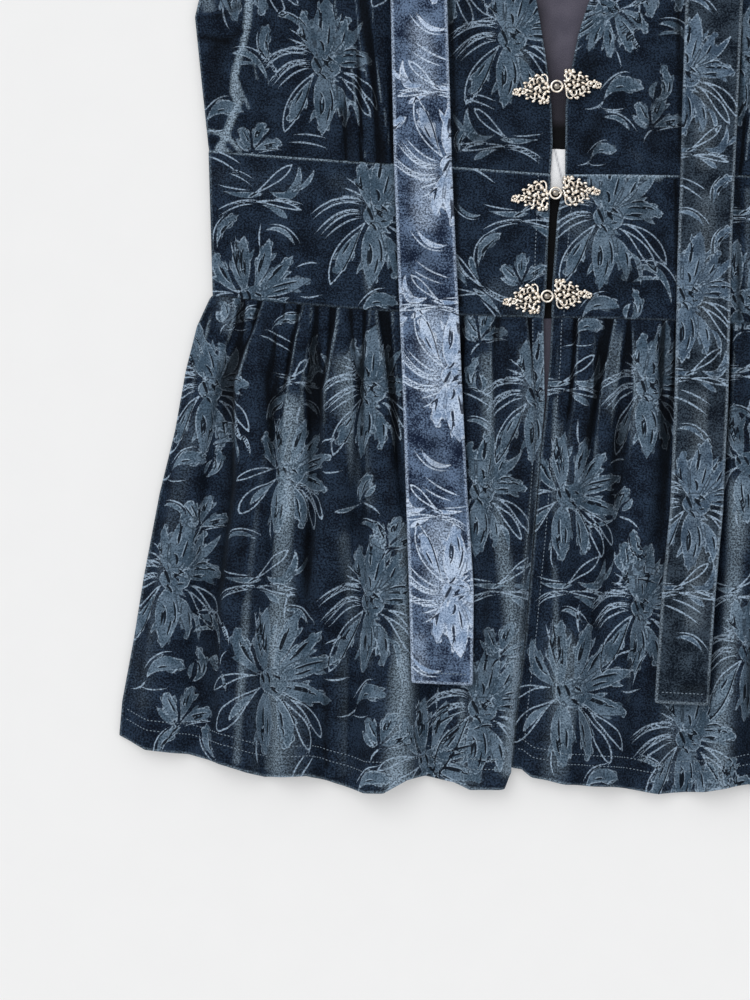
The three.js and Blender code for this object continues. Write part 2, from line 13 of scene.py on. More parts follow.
import bpy
import numpy as np
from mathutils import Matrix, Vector


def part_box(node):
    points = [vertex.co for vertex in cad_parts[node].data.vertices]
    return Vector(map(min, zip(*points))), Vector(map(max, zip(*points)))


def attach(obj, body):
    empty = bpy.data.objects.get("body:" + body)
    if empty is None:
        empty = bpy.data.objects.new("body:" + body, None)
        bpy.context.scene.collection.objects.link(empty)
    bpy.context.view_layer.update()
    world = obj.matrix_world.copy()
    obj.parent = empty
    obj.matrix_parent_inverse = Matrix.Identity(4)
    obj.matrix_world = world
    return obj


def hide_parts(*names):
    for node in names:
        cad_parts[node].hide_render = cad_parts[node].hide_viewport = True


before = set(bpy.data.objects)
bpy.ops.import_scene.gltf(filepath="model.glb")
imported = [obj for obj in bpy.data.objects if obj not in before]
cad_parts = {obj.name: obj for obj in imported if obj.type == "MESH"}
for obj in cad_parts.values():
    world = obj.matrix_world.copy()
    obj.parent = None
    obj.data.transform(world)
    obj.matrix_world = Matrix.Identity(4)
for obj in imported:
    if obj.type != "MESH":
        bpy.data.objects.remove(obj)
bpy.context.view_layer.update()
LOG = logging.getLogger("velour_top")

MM = 0.001
LABEL_TOP = -16.0
WAIST_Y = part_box("label")[1][1] / MM + LABEL_TOP  # the waist seam's Y in the frame, mm
VELOUR = 1.5  # wall of one layer
BAND = 2.0
TIE = 2.4
LABEL_WALL = 1.0
GAP = 0.3
LOFT = 1.6
BAND_HIGH = 78.0
HEM_SIDE = 321.4
HEM_OPENING = 329.0
EDGE_INSET = 0.5  # the shells' round rims reach out to the edges of the cut from here, mm
SEAM_RISE = (0.75, 25.0)  # height at a seam and how far off it fades
BUST = (3.4, 112.0, 78.0, -132.0, 92.0)  # height, out and its half width, down and its half length
SIDE_FOLD = (2.2, 182.0, 175.5, 9.0)  # height, out at the seam and 100 mm above it, half width
GATHER_HALF = 4.6  # half width of a gather under the bust
FLANKS = (1.9, 6.5)  # a peplum fold's flanks at the waist and at the hem
SIDE_CALM = 9.0  # width beside the side seam over which the folds run out
BACK_HEM = (337.0, 323.0)  # down in the middle and at the sides
BACK_WAVES = (2.5, 44.0)  # height and half length of the back hem's waves
BACK_LIFT = (14.0, -2.0, 20.0)  # how far the back hem rises behind the opening, its x and its reach
PUCKERS = (9.0, 192.0)  # out of the first and the last small gather below the waistband
BROAD = 4.0  # a path of painted sheen or shade with a greater half width is broad
FAR_OFF = 1000.0  # farther than anything on the garment, mm

Table = tuple[tuple[float, ...], ...]

# Side seam and armhole: down, out
SIDE: Table = (
    (321.4, 229), (302.7, 228.3), (267.3, 223.4), (232.8, 219.5), (186.1, 212.9), (150.4, 205.9),
    (116.3, 201.4), (91.8, 196.4), (76.2, 190.1), (74, 188.3), (-6, 194.4), (-42, 200), (-80, 205.7),
    (-92, 203.5), (-110, 193), (-135, 180), (-170, 168.5), (-215, 160), (-262, 155),
)
# Opening and V neck: down, x of the gap's middle, width of the gap
OPENING: Table = (
    (330, -10.6, 0.8), (300, -9.5, 0.7), (250, -5.8, 0.7), (200, -3.7, 0.7), (150, -2.0, 0.7),
    (125, -0.7, 1.4), (100, -1.2, 3.7), (80, -1.9, 5.0), (60, -1.8, 4.0), (40, -1.7, 4.9),
    (20, -1.4, 5.4), (0, 0, 8.7), (-20, -0.2, 7.4), (-40, -1.4, 8.2), (-60, -1.9, 13.4),
    (-80, -2.4, 20.6), (-98, -2.0, 29.4), (-125, -1, 58), (-165, 0, 100), (-215, 0, 140),
    (-275, 0, 164),
)
# Seams of the waistband: x, down of the upper one, down of the lower one
BAND_SEAMS: Table = (
    (-195, -6, 74.5), (-150, -4.5, 76.9), (-100, -3.3, 78.6), (-60, -3.2, 79.2), (-30, -2.4, 79),
    (0, -1.6, 78.2), (30, -3, 77.2), (67, -4.3, 76.6), (101, -6, 76.6), (150, -7.2, 75.6),
    (195, -8, 74),
)
SHOULDER_TIP = (155.0, -262.0)  # out, down
SHOULDER_NECK = (82.0, -275.0)
BACK_NECK_DOWN = -258.0
# Hems: out, down
HEM_RIGHT: Table = (
    (10, 329), (15.6, 341), (33, 342), (42, 338), (58, 335.7), (68, 338), (81, 345.8), (92, 346.3),
    (103, 343), (123, 338.4), (147, 340.6), (167, 335), (190, 330), (214, 328.4), (229, 321.4),
)
HEM_LEFT: Table = (
    (-11, 329), (-4, 329.4), (2, 333.6), (21, 336.8), (46, 336.5), (72, 339.6), (97, 336.9),
    (122, 331.7), (143, 339), (163, 333), (186, 335.5), (210, 327), (229, 321.4),
)
STATIONS = (0.0, 0.18, 0.4, 0.67, 1.0)
# Folds of the peplum: edge next to the side seam, edge next to the opening, height (each at the
# five stations), and how far the top leans towards the side seam
FoldRow = tuple[tuple[float, ...], tuple[float, ...], tuple[float, ...], float]
FOLDS_RIGHT: tuple[FoldRow, ...] = (
    ((187, 199, 207, 214, 220), (174, 184, 190, 193, 195), (2.4, 5.5, 7, 7, 7), 0),
    ((168, 170, 172, 173, 173), (164, 166, 168, 169, 169), (2, 1, 0, 0, 0), 0),
    ((159, 173, 170, 175, 174), (152, 157, 150, 153, 151), (3, 7, 8, 9, 10), 1.5),
    ((147, 150, 150, 150, 150), (143, 146, 146, 146, 146), (2.4, 1.5, 0, 0, 0), 0),
    ((138, 144.5, 148, 150, 141), (132, 135, 130, 131, 117), (3, 7, 8, 8, 8), 1),
    ((128, 127, 126, 126, 126), (124, 123, 122, 122, 122), (2.4, 1, 0, 0, 0), 0),
    ((118, 124, 122, 129, 110), (113.5, 107, 106, 110, 96), (3, 7, 7.5, 6, 3), 1),
    ((109, 107, 105, 105, 105), (105, 103, 101, 101, 101), (2, 0.8, 0, 0, 0), 0),
    ((102, 102, 98, 93, 95), (97, 88, 80, 68, 64), (3, 6.5, 7, 10, 12), 0),
    ((89, 84, 76, 70, 70), (83, 76, 68, 64, 64), (3, 5.5, 4, 0, 0), 0),
    ((76, 70, 62, 56, 52), (70, 62, 52, 44, 37), (3, 5, 6, 7, 7), 0),
    ((61, 58, 56, 56, 56), (56, 53, 51, 51, 51), (2.6, 2, 0, 0, 0), 0),
    ((47, 47, 42, 38, 34), (34, 31, 31, 30, 26), (2.6, 5.5, 5, 5, 5), 0),
    ((24, 20, 25, 26, 24), (15, 8, 8, 10, 14), (2.6, 4, 6, 8, 9), -2),
)
FOLDS_LEFT: tuple[FoldRow, ...] = (
    ((188, 196, 205, 213, 219), (173, 181, 189, 194, 197), (2.4, 5, 6.5, 7, 7), 0),
    ((166, 168, 170, 171, 172), (162, 164, 166, 167, 168), (2, 1.5, 0, 0, 0), 0),
    ((156, 168, 172, 174, 172), (148, 155, 154, 152, 148), (3, 6.5, 8, 8, 9), 0.5),
    ((143, 144, 145, 145, 145), (139, 140, 141, 141, 141), (2.4, 1, 0, 0, 0), 0),
    ((134, 138, 143, 141, 146), (127, 127, 128, 124, 126), (3, 7, 7, 8, 9), -0.5),
    ((122, 123, 122, 121, 120), (117, 118, 117, 116, 115), (2.4, 2.6, 2, 0, 0), 0),
    ((113, 114, 117, 118, 112), (102, 102, 103, 103, 92), (3, 5.5, 6.5, 9, 10), 0),
    ((95, 94, 92, 88, 84), (89, 87, 84, 81, 77), (2.6, 5, 4, 2, 0), 0),
    ((80, 79, 78, 74, 72), (74, 71, 69, 66, 64), (3, 5, 4.5, 4, 3), 0),
    ((68, 68, 67, 64, 60), (64, 64, 63, 60, 56), (2, 1, 0, 0, 0), 0),
    ((57, 62, 61.5, 54, 48.5), (46, 48, 44, 36, 30), (3, 6, 7, 9, 11), -0.5),
    ((42, 38, 36, 30, 24), (36, 29, 26, 20, 14), (3, 6, 5, 4, 3), -1),
    ((26, 25.5, 18, 12, 6), (16, 15, 8, 2, -5), (2.6, 5, 5, 6, 6), -1),
    ((12.5, 11.5, 8, 6, 4), (4, 4, 3, 1, -1), (2.4, 3, 1.5, 0, 0), 0),
)
# Low folds of the back peplum: x at the waist, x at the hem, half width, height at the waist, at the hem
BACK_FOLDS: Table = (
    (-152, -176, 17, 2.0, 3.2), (-112, -131, 18, 2.6, 3.8), (-70, -84, 16, 2.4, 3.0),
    (-26, -33, 18, 2.8, 4.0), (17, 16, 17, 2.4, 3.4), (60, 67, 18, 2.6, 4.0), (104, 121, 17, 2.6, 3.4),
    (150, 172, 17, 2.0, 3.0),
)
# Gathers under the bust: out at the seam, out 100 mm above it, height, how far up they run
BUST_GATHERS: Table = (
    (122, 128, 1.8, 80), (113.5, 121.5, 2.8, 135), (104.5, 113, 3.0, 150), (96.5, 103.5, 2.8, 140),
    (88, 92, 2.4, 110), (79, 82, 2.4, 120), (70, 72, 2.0, 90),
)
# Ties: down, out of the middle, half width
TIE_RIGHT: Table = (
    (-268, 84.5, 14.8), (-180, 83, 15), (-95, 81.9, 15.1), (0, 75, 15.5), (60, 69.6, 15.8),
    (120, 64.3, 15.9), (180, 59, 16.5), (230, 54.2, 17.4), (283.5, 51.3, 16.4),
)
TIE_LEFT: Table = (
    (-268, 84.5, 14.6), (-180, 83, 15), (-95, 82, 15.2), (0, 82.9, 14.4), (60, 83.8, 14.3),
    (120, 85, 14.2), (180, 85.3, 14), (230, 83, 14.2), (288.5, 81.9, 14.3),
)


class Hand(Enum):
    """The wearer's side: the sign of x there."""

    RIGHT = -1
    LEFT = 1


class Use(Enum):
    """What a stroke of the pattern is: a pressed shape, an outline or a thin line."""

    FILL = "fill"
    LOOP = "loop"
    LINE = "line"


class Kind(Enum):
    """Motifs of the pattern."""

    FLOWER = "flower"
    PEONY = "peony"
    SPRIG = "sprig"
    LOTUS = "lotus"
    CRESCENT = "crescent"
    COMMA = "comma"
    FLAME = "flame"
    LEAF = "leaf"
    ANTLER = "antler"
    BUD = "bud"
    STROKES = "strokes"


# Strokes of each motif, in mm: use, start x, y, pull x, y, end x, y, half width, and the share of the
# length at which it is widest where that isn't the middle
F, O, L = Use.FILL, Use.LOOP, Use.LINE
StrokeRow = tuple[Use | float, ...]
STROKES: dict[Kind, tuple[StrokeRow, ...]] = {
    Kind.FLOWER: (
        (F, 1, -1, 3, 12, 6, 29, 5.0, 0.55), (F, -1, 2, -5, 12, -5, 23, 2.8, 0.55),
        (F, 4, 4, 12, 10, 14, 21, 2.5), (F, 6, 4, 15, 9, 22, 19, 2.0), (F, 4, 1, 14, 4, 25, 2, 3.9),
        (F, -3, 0, 2, -1, 8, -2, 4.8), (F, 1, -4, 2, -16, 0, -31, 5.2, 0.42),
        (F, 4, -8, 11, -14, 11, -27, 2.5), (F, -4, -6, -10, -15, -14, -26, 2.7, 0.6),
        (O, -3, -4, -12, -14, -16, -30, 3.3, 0.6), (F, 12, -15, 17, -17, 17, -28, 1.1),
        (O, 8, -3, 20, -4, 27, -19, 2.0, 0.7), (O, 7, -5, 15, -8, 23, -22, 1.9, 0.7),
        (L, -4, 5, -15, 9, -25, -1, 0.45), (L, -5, 3.6, -15, 6.6, -24, -3, 0.4),
        (L, -5, 1, -14, 3, -23, -9, 0.45), (L, -5, -0.4, -13, 1, -21, -10, 0.4),
        (L, -5, -2, -12, -3, -19, -11, 0.4), (L, -4, 9, -7, 12, -11, 14, 0.4),
        (L, -4.5, 7, -8, 9, -12, 10, 0.4), (L, -5, 5.5, -9, 7, -13, 6.6, 0.4),
        (L, 2, 24, 3, 19, 2, 14, 0.45), (L, 1, 10, 3, 8, 2, 5, 0.6), (L, -2.5, 3, -1, 0.5, 0.5, -3, 0.8),
        (L, 1, 2.4, 2, 0.4, 4.5, -1.6, 0.7), (L, 3.6, 3.6, 4.6, 2, 6.4, 1.4, 0.5),
        (L, -1, -3.6, 1, -4.6, 2, -7, 0.5), (L, 11, 5.5, 15, 7, 19, 6.2, 0.4),
        (L, 10, 3.4, 14, 4.4, 18, 3.4, 0.4), (L, 9, 0.6, 13, 0.8, 16, -0.2, 0.4),
        (L, -1, -12, 1, -16, 0, -21, 0.45), (L, 3, -10, 5, -15, 4.5, -20, 0.45),
    ),
    Kind.PEONY: (
        (F, 0, 1, -5, 12, -2, 27, 4.2, 0.55), (F, 3, 2, 7, 13, 9, 26, 3.0, 0.6),
        (F, -3, 1, -12, 6, -15, 19, 2.9, 0.6), (F, 4, 2, 13, 9, 20, 19, 2.9), (F, 3, 0, 15, 5, 29, 9, 3.3),
        (F, 2, -2, 14, -4, 28, -7, 3.4), (F, -3, -1, 3, 0, 9, -2, 5.2), (F, 0, -4, -2, -14, 1, -29, 4.4),
        (F, 5, -5, 11, -14, 12, -26, 2.9, 0.55), (F, -6, -5, -12, -9, -16, -16, 1.5, 0.6),
        (O, -3, -3, -13, -8, -20, -20, 3.4, 0.7), (O, -6, 1, -16, 2, -24, -5, 1.7, 0.7),
        (O, 6, -6, 17, -14, 20, -26, 2.1, 0.7), (O, 8, -5, 20, -11, 26, -21, 1.9, 0.7),
        (L, -2, 10, -3.5, 15, -2.5, 21, 0.45), (L, 5, 10, 6.5, 15, 7.5, 20, 0.4),
        (L, -7, 5.5, -11, 9, -13, 14, 0.4), (L, 9, 7, 13, 11, 16, 15, 0.4),
        (L, 11, 4, 17, 6.2, 23, 7.6, 0.45), (L, 9, -2.6, 16, -3.6, 22, -5.2, 0.45),
        (L, -4, 2.6, -2, 1, -1.5, -2, 0.8), (L, 0, 2.4, 1.6, 0.8, 2, -2, 0.7),
        (L, 3.5, 1.8, 5, 0.6, 7, 0.6, 0.6), (L, 2.6, -3, 4, -4.4, 6, -4.6, 0.5),
        (L, -1.5, -10, -2, -15, -0.5, -21, 0.45), (L, 7, -11, 9, -16, 10, -21, 0.4),
        (L, -3, 8, -6, 15, -8, 24, 0.4), (L, -2, 12, -5, 18, -6, 26, 0.35), (L, 5, 22, 4, 27, 5, 32, 0.4),
        (L, 22, 14, 27, 17, 31, 16, 0.4), (L, 24, 1, 28, 0, 33, 2, 0.4),
        (L, -4, -22, -5, -27, -3, -31, 0.4),
    ),
    Kind.SPRIG: (
        (F, -15, 1.5, -5, -1, 4, 1, 1.3, 0.6), (O, -2, -0.5, 5, 4, 16, 14.5, 1.9, 0.75),
        (F, 6, 2.5, 16, -3, 20, 6, 2.0, 0.55), (F, 14, 2, 21, 5, 19, 15, 1.7, 0.4),
        (F, 17, 3, 24, 5, 26, 13, 1.1), (O, 1, -2.6, 10, -2, 21, -5.5, 1.2, 0.6),
        (F, 2, -3.5, 10, -5, 15, -9.5, 1.5, 0.7), (L, -16, -7, -8, -1.5, 1, -2, 0.4),
        (L, -15, -9.5, -8, -4, -1, -3.8, 0.35), (L, -16, 4, -9, 2.4, -3, 2.4, 0.35),
        (L, 9, -1, 15, -1.2, 21, -2.6, 0.35),
    ),
    Kind.LOTUS: (
        (F, 0, 0, -4, 6, -7, 13, 2.6, 0.6), (F, 1, 1, 3, 9, 6, 16, 3.0, 0.6),
        (F, 1, 0, 8, 4, 17, 5.5, 2.7, 0.6), (F, -1, -1, -6, 2, -10, 7, 1.3),
        (L, -1, 4, -3.5, 8, -5.5, 11, 0.35), (L, 3, 7, 4, 10, 5, 13, 0.35), (L, 6, 2.8, 10, 4, 14, 5, 0.35),
        (L, 1, -1, -2, -3, -3, -7, 0.5, 0.3), (L, 4, -1.2, 10, 1, 16, 1.4, 0.35),
    ),
    Kind.CRESCENT: (
        (F, -8, 2, 1, 5.5, 7, -5, 1.2), (L, -6, 4.8, 3, 6.5, 9.5, -3.5, 0.4),
    ),
    Kind.COMMA: (
        (F, -8, -5, -3, 8, 11, 1, 3.4, 0.6), (L, -9.5, 0, -4, 9, 3, 9, 0.4),
        (L, -8, -5.5, -10, -9, -16, -9.5, 0.5, 0.3), (L, -9, -8.5, -3, -10, 2, -8, 0.35),
    ),
    Kind.FLAME: (
        (F, -3, -8, 7, -2, -2, 11, 2.3), (F, -4, -7, -7, -2, -2, 2, 1.4), (L, -1, 3, 1.5, 0, 1, -4, 0.35),
    ),
    Kind.LEAF: (
        (F, -4, -9, -5, 3, 6, 8, 2.3, 0.65), (L, -2, -4, -1.5, 1, 3, 5, 0.35),
        (L, -6, -6, -7.5, 2, -1, 7.5, 0.35),
    ),
    Kind.ANTLER: (
        (F, -10, 4, 4, 8, 8, -12, 1.7, 0.4), (F, -11, -3, -6, 1, 4, -1, 0.9),
        (L, -9, 7, 5, 11, 11, -5, 0.35), (L, 9, 2, 12, -2, 12, -7, 0.35),
    ),
    Kind.BUD: (
        (F, 0, 0, -1, 9, 8, 13, 2.8, 0.6), (F, 3, 3, 7, 4, 9, 9, 1.3), (F, 1, 0, -5, -3, -16, -5, 1.0, 0.7),
        (L, 2, 0, 8, 0, 12, -5, 0.5, 0.4), (L, 1, 4, 2, 8, 6, 11, 0.35), (L, -2, 3, -3, 9, 3, 13, 0.35),
    ),
    Kind.STROKES: (
        (L, -8, 3.4, 0, 1.5, 7, -4, 0.45, 0.4), (L, -5, 6.2, 2, 4.8, 8, 0.6, 0.4),
    ),
}
# Motifs on each piece: kind, x, down, turn in degrees, and scale, which is below 0 for a mirrored one
Place = tuple[Kind, float, float, float, float]
PLACES: dict[str, tuple[Place, ...]] = {
    "bodice_front_right": (
        (Kind.FLOWER, -135, -57, 0, 1.3), (Kind.LEAF, -164, -66, 30, 1.2), (Kind.LOTUS, -171, -7, 0, 1),
        (Kind.COMMA, -188, -27, 0, 1.1), (Kind.STROKES, -139, -12, 20, 1.2),
        (Kind.ANTLER, -173, -56, 0, 1.1), (Kind.FLOWER, -32, -77, 0, 1.3), (Kind.SPRIG, -29, -19, 0, -1.2),
        (Kind.LEAF, -54, -18, 20, 0.8), (Kind.STROKES, -45, -39, 10, 1), (Kind.CRESCENT, -153, -80, 0, 1),
    ),
    "bodice_front_left": (
        (Kind.PEONY, 26, -95, 200, 1), (Kind.COMMA, 33, -50, 0, 1.2), (Kind.FLAME, 56, -54, 0, 1.2),
        (Kind.ANTLER, 62, -84, 0, 1), (Kind.LOTUS, 50, -30, 0, 1.1), (Kind.CRESCENT, 32, -32, 0, 1.1),
        (Kind.COMMA, 24, -15, 0, 0.8), (Kind.FLOWER, 99, -70, 0, 1.3),
    ),
    "waistband_front_right": (
        (Kind.STROKES, -186, 1, 0, 1.1), (Kind.STROKES, -176, 9, 0, 0.8), (Kind.SPRIG, -168, 18, 0, 1.25),
        (Kind.LEAF, -183, 38, 0, 1.1), (Kind.CRESCENT, -152, 39, 0, 1.1), (Kind.FLOWER, -102, 25, 0, 1.35),
        (Kind.PEONY, -170, 74, 0, 1.25), (Kind.COMMA, -97, 76, 0, 1.1), (Kind.STROKES, -45, -1, 0, 1.4),
        (Kind.SPRIG, -20, 22, 0, 1.25), (Kind.LEAF, -37, 42, 0, 1.2), (Kind.CRESCENT, -49, 21, 180, 0.9),
        (Kind.SPRIG, -40, 66, 140, 1.2), (Kind.LOTUS, -18, 60, 20, 1),
    ),
    "waistband_front_left": (
        (Kind.FLOWER, 26, 20, 0, 1.35), (Kind.ANTLER, 57, 53, 0, 1.2), (Kind.COMMA, 26, 72, 0, 1.1),
        (Kind.FLAME, 46, 70, 0, 1), (Kind.SPRIG, 105, 15, 0, 1.25), (Kind.PEONY, 104, 63, 0, 1.25),
        (Kind.STROKES, 86, -8, 0, 1.1),
    ),
    "peplum_front_right": (
        (Kind.LOTUS, -180, 89, 0, 0.9), (Kind.COMMA, -168, 86, 0, 0.8), (Kind.LEAF, -147, 88, -40, 1),
        (Kind.FLOWER, -189, 126, 0, 1.25), (Kind.STROKES, -152, 100, 0, 1.2),
        (Kind.SPRIG, -142, 119, 0, 0.8), (Kind.FLAME, -129, 106, 0, -1.2),
        (Kind.FLOWER, -101, 123, 0, 1.25), (Kind.LEAF, -150, 137, 0, 1.2),
        (Kind.CRESCENT, -132, 135, 0, 0.9), (Kind.PEONY, -145, 171, 0, 1.2),
        (Kind.ANTLER, -173, 154, 0, 1.2), (Kind.COMMA, -199, 169, 0, 1.1), (Kind.FLAME, -183, 168, 0, 1),
        (Kind.LOTUS, -191, 204, 0, 1.15), (Kind.CRESCENT, -204, 195, 0, 1.1),
        (Kind.FLOWER, -205, 232, 0, 1.3), (Kind.CRESCENT, -167, 208, 30, 1.1),
        (Kind.SPRIG, -158, 232, 0, 1.25), (Kind.BUD, -101, 186, 0, 1.2), (Kind.CRESCENT, -95, 200, 0, 1.1),
        (Kind.LOTUS, -85, 210, 0, 1.1), (Kind.FLOWER, -94, 240, 0, 1.35), (Kind.ANTLER, -179, 259, 0, 1.2),
        (Kind.COMMA, -206, 284, 0, 1.2), (Kind.FLAME, -187, 281, 0, 1.1), (Kind.LOTUS, -197, 313, 0, 1.3),
        (Kind.PEONY, -148, 286, 0, 1.5), (Kind.BUD, -174, 281, 90, 0.8), (Kind.COMMA, -92, 294, 0, 1.2),
        (Kind.LOTUS, -85, 320, 0, 1.2), (Kind.CRESCENT, -133, 250, 0, 1.1), (Kind.LEAF, -202, 324, 0, 1.1),
        (Kind.LEAF, -177, 323, 60, 1.2), (Kind.COMMA, -88, 341, 0, 1.1), (Kind.STROKES, -125, 336, 90, 1.2),
        (Kind.LOTUS, -40, 93, 0, 1.1), (Kind.FLAME, -41, 113, 0, -1.1), (Kind.STROKES, -38, 126, 0, 1.1),
        (Kind.CRESCENT, -37, 140, 0, 1), (Kind.FLOWER, -8, 121, 0, 1.3), (Kind.FLOWER, -36, 176, 0, 1.2),
        (Kind.BUD, 0, 213, 0, 1.1), (Kind.SPRIG, -23, 229, 0, 1.2), (Kind.LOTUS, -21, 267, 0, 1.2),
        (Kind.FLOWER, -31, 296, 0, 1.35), (Kind.CRESCENT, -3, 258, 0, 1), (Kind.COMMA, 5, 316, 0, 1.1),
        (Kind.PEONY, -59, 327, 0, 1.3),
    ),
    "peplum_front_left": (
        (Kind.COMMA, 20, 84, 0, 1), (Kind.SPRIG, 8, 115, 0, 1.2), (Kind.FLOWER, 54, 114, 0, 1.3),
        (Kind.PEONY, 12, 176, 0, 1.3), (Kind.BUD, 42, 187, 0, 1.2), (Kind.LOTUS, 49, 218, -20, 1.2),
        (Kind.SPRIG, 15, 227, 0, 1.2), (Kind.FLOWER, 55, 236, 0, 1.25), (Kind.PEONY, 17, 285, 0, 1.5),
        (Kind.FLOWER, 85, 308, 0, 1.3), (Kind.CRESCENT, 19, 243, 0, 1), (Kind.STROKES, 58, 270, 90, 1.2),
        (Kind.PEONY, 110, 153, 0, 1.2), (Kind.SPRIG, 107, 103, 0, 1.2), (Kind.CRESCENT, 108, 127, 0, 1),
        (Kind.LOTUS, 106, 80, 0, 1), (Kind.FLOWER, 116, 258, 0, 1.3), (Kind.SPRIG, 109, 225, 0, 1.2),
        (Kind.LOTUS, 106, 336, 0, 1.2), (Kind.COMMA, 39, 334, 0, 1.1), (Kind.LEAF, 55, 202, 60, 1),
        (Kind.CRESCENT, 66, 324, 0, 1), (Kind.LEAF, 80, 142, 10, 1),
    ),
    "tie_right": (
        (Kind.CRESCENT, -75, -82, 180, 1.2), (Kind.STROKES, -74, -66, 180, 1.2),
        (Kind.SPRIG, -70, -46, 0, -1), (Kind.FLOWER, -61, -3, 180, -1.25),
        (Kind.CRESCENT, -69, 38, 180, 1.2), (Kind.STROKES, -68, 55, 180, 1.2), (Kind.SPRIG, -63, 73, 0, -1),
        (Kind.FLOWER, -55, 114, 180, -1.25), (Kind.CRESCENT, -61, 160, 180, 1.2),
        (Kind.STROKES, -57, 175, 180, 1.2), (Kind.SPRIG, -58, 189, 0, -1),
        (Kind.FLOWER, -49, 233, 180, -1.25), (Kind.CRESCENT, -61, 274, 180, 1.2),
        (Kind.LEAF, -91, -22, 0, 0.9), (Kind.LEAF, -85, 89, 0, 0.9),
    ),
    "tie_left": (
        (Kind.FLOWER, 66, -60, 0, 1.2), (Kind.STROKES, 73, 4, 0, 1.1), (Kind.CRESCENT, 75, 19, 0, 1.1),
        (Kind.FLOWER, 73, 62, 0, 1.25), (Kind.SPRIG, 78, 106, 0, 1), (Kind.STROKES, 79, 123, 0, 1.3),
        (Kind.CRESCENT, 81, 139, 0, 1.1), (Kind.FLOWER, 82, 177, 0, 1.25), (Kind.SPRIG, 77, 225, 0, 1),
        (Kind.STROKES, 80, 239, 0, 1.3), (Kind.CRESCENT, 85, 255, 0, 1.1), (Kind.LEAF, 91, 3, 0, 1),
        (Kind.LEAF, 93, 31, 0, 1), (Kind.SPRIG, 73, -18, 0, 1),
    ),
}
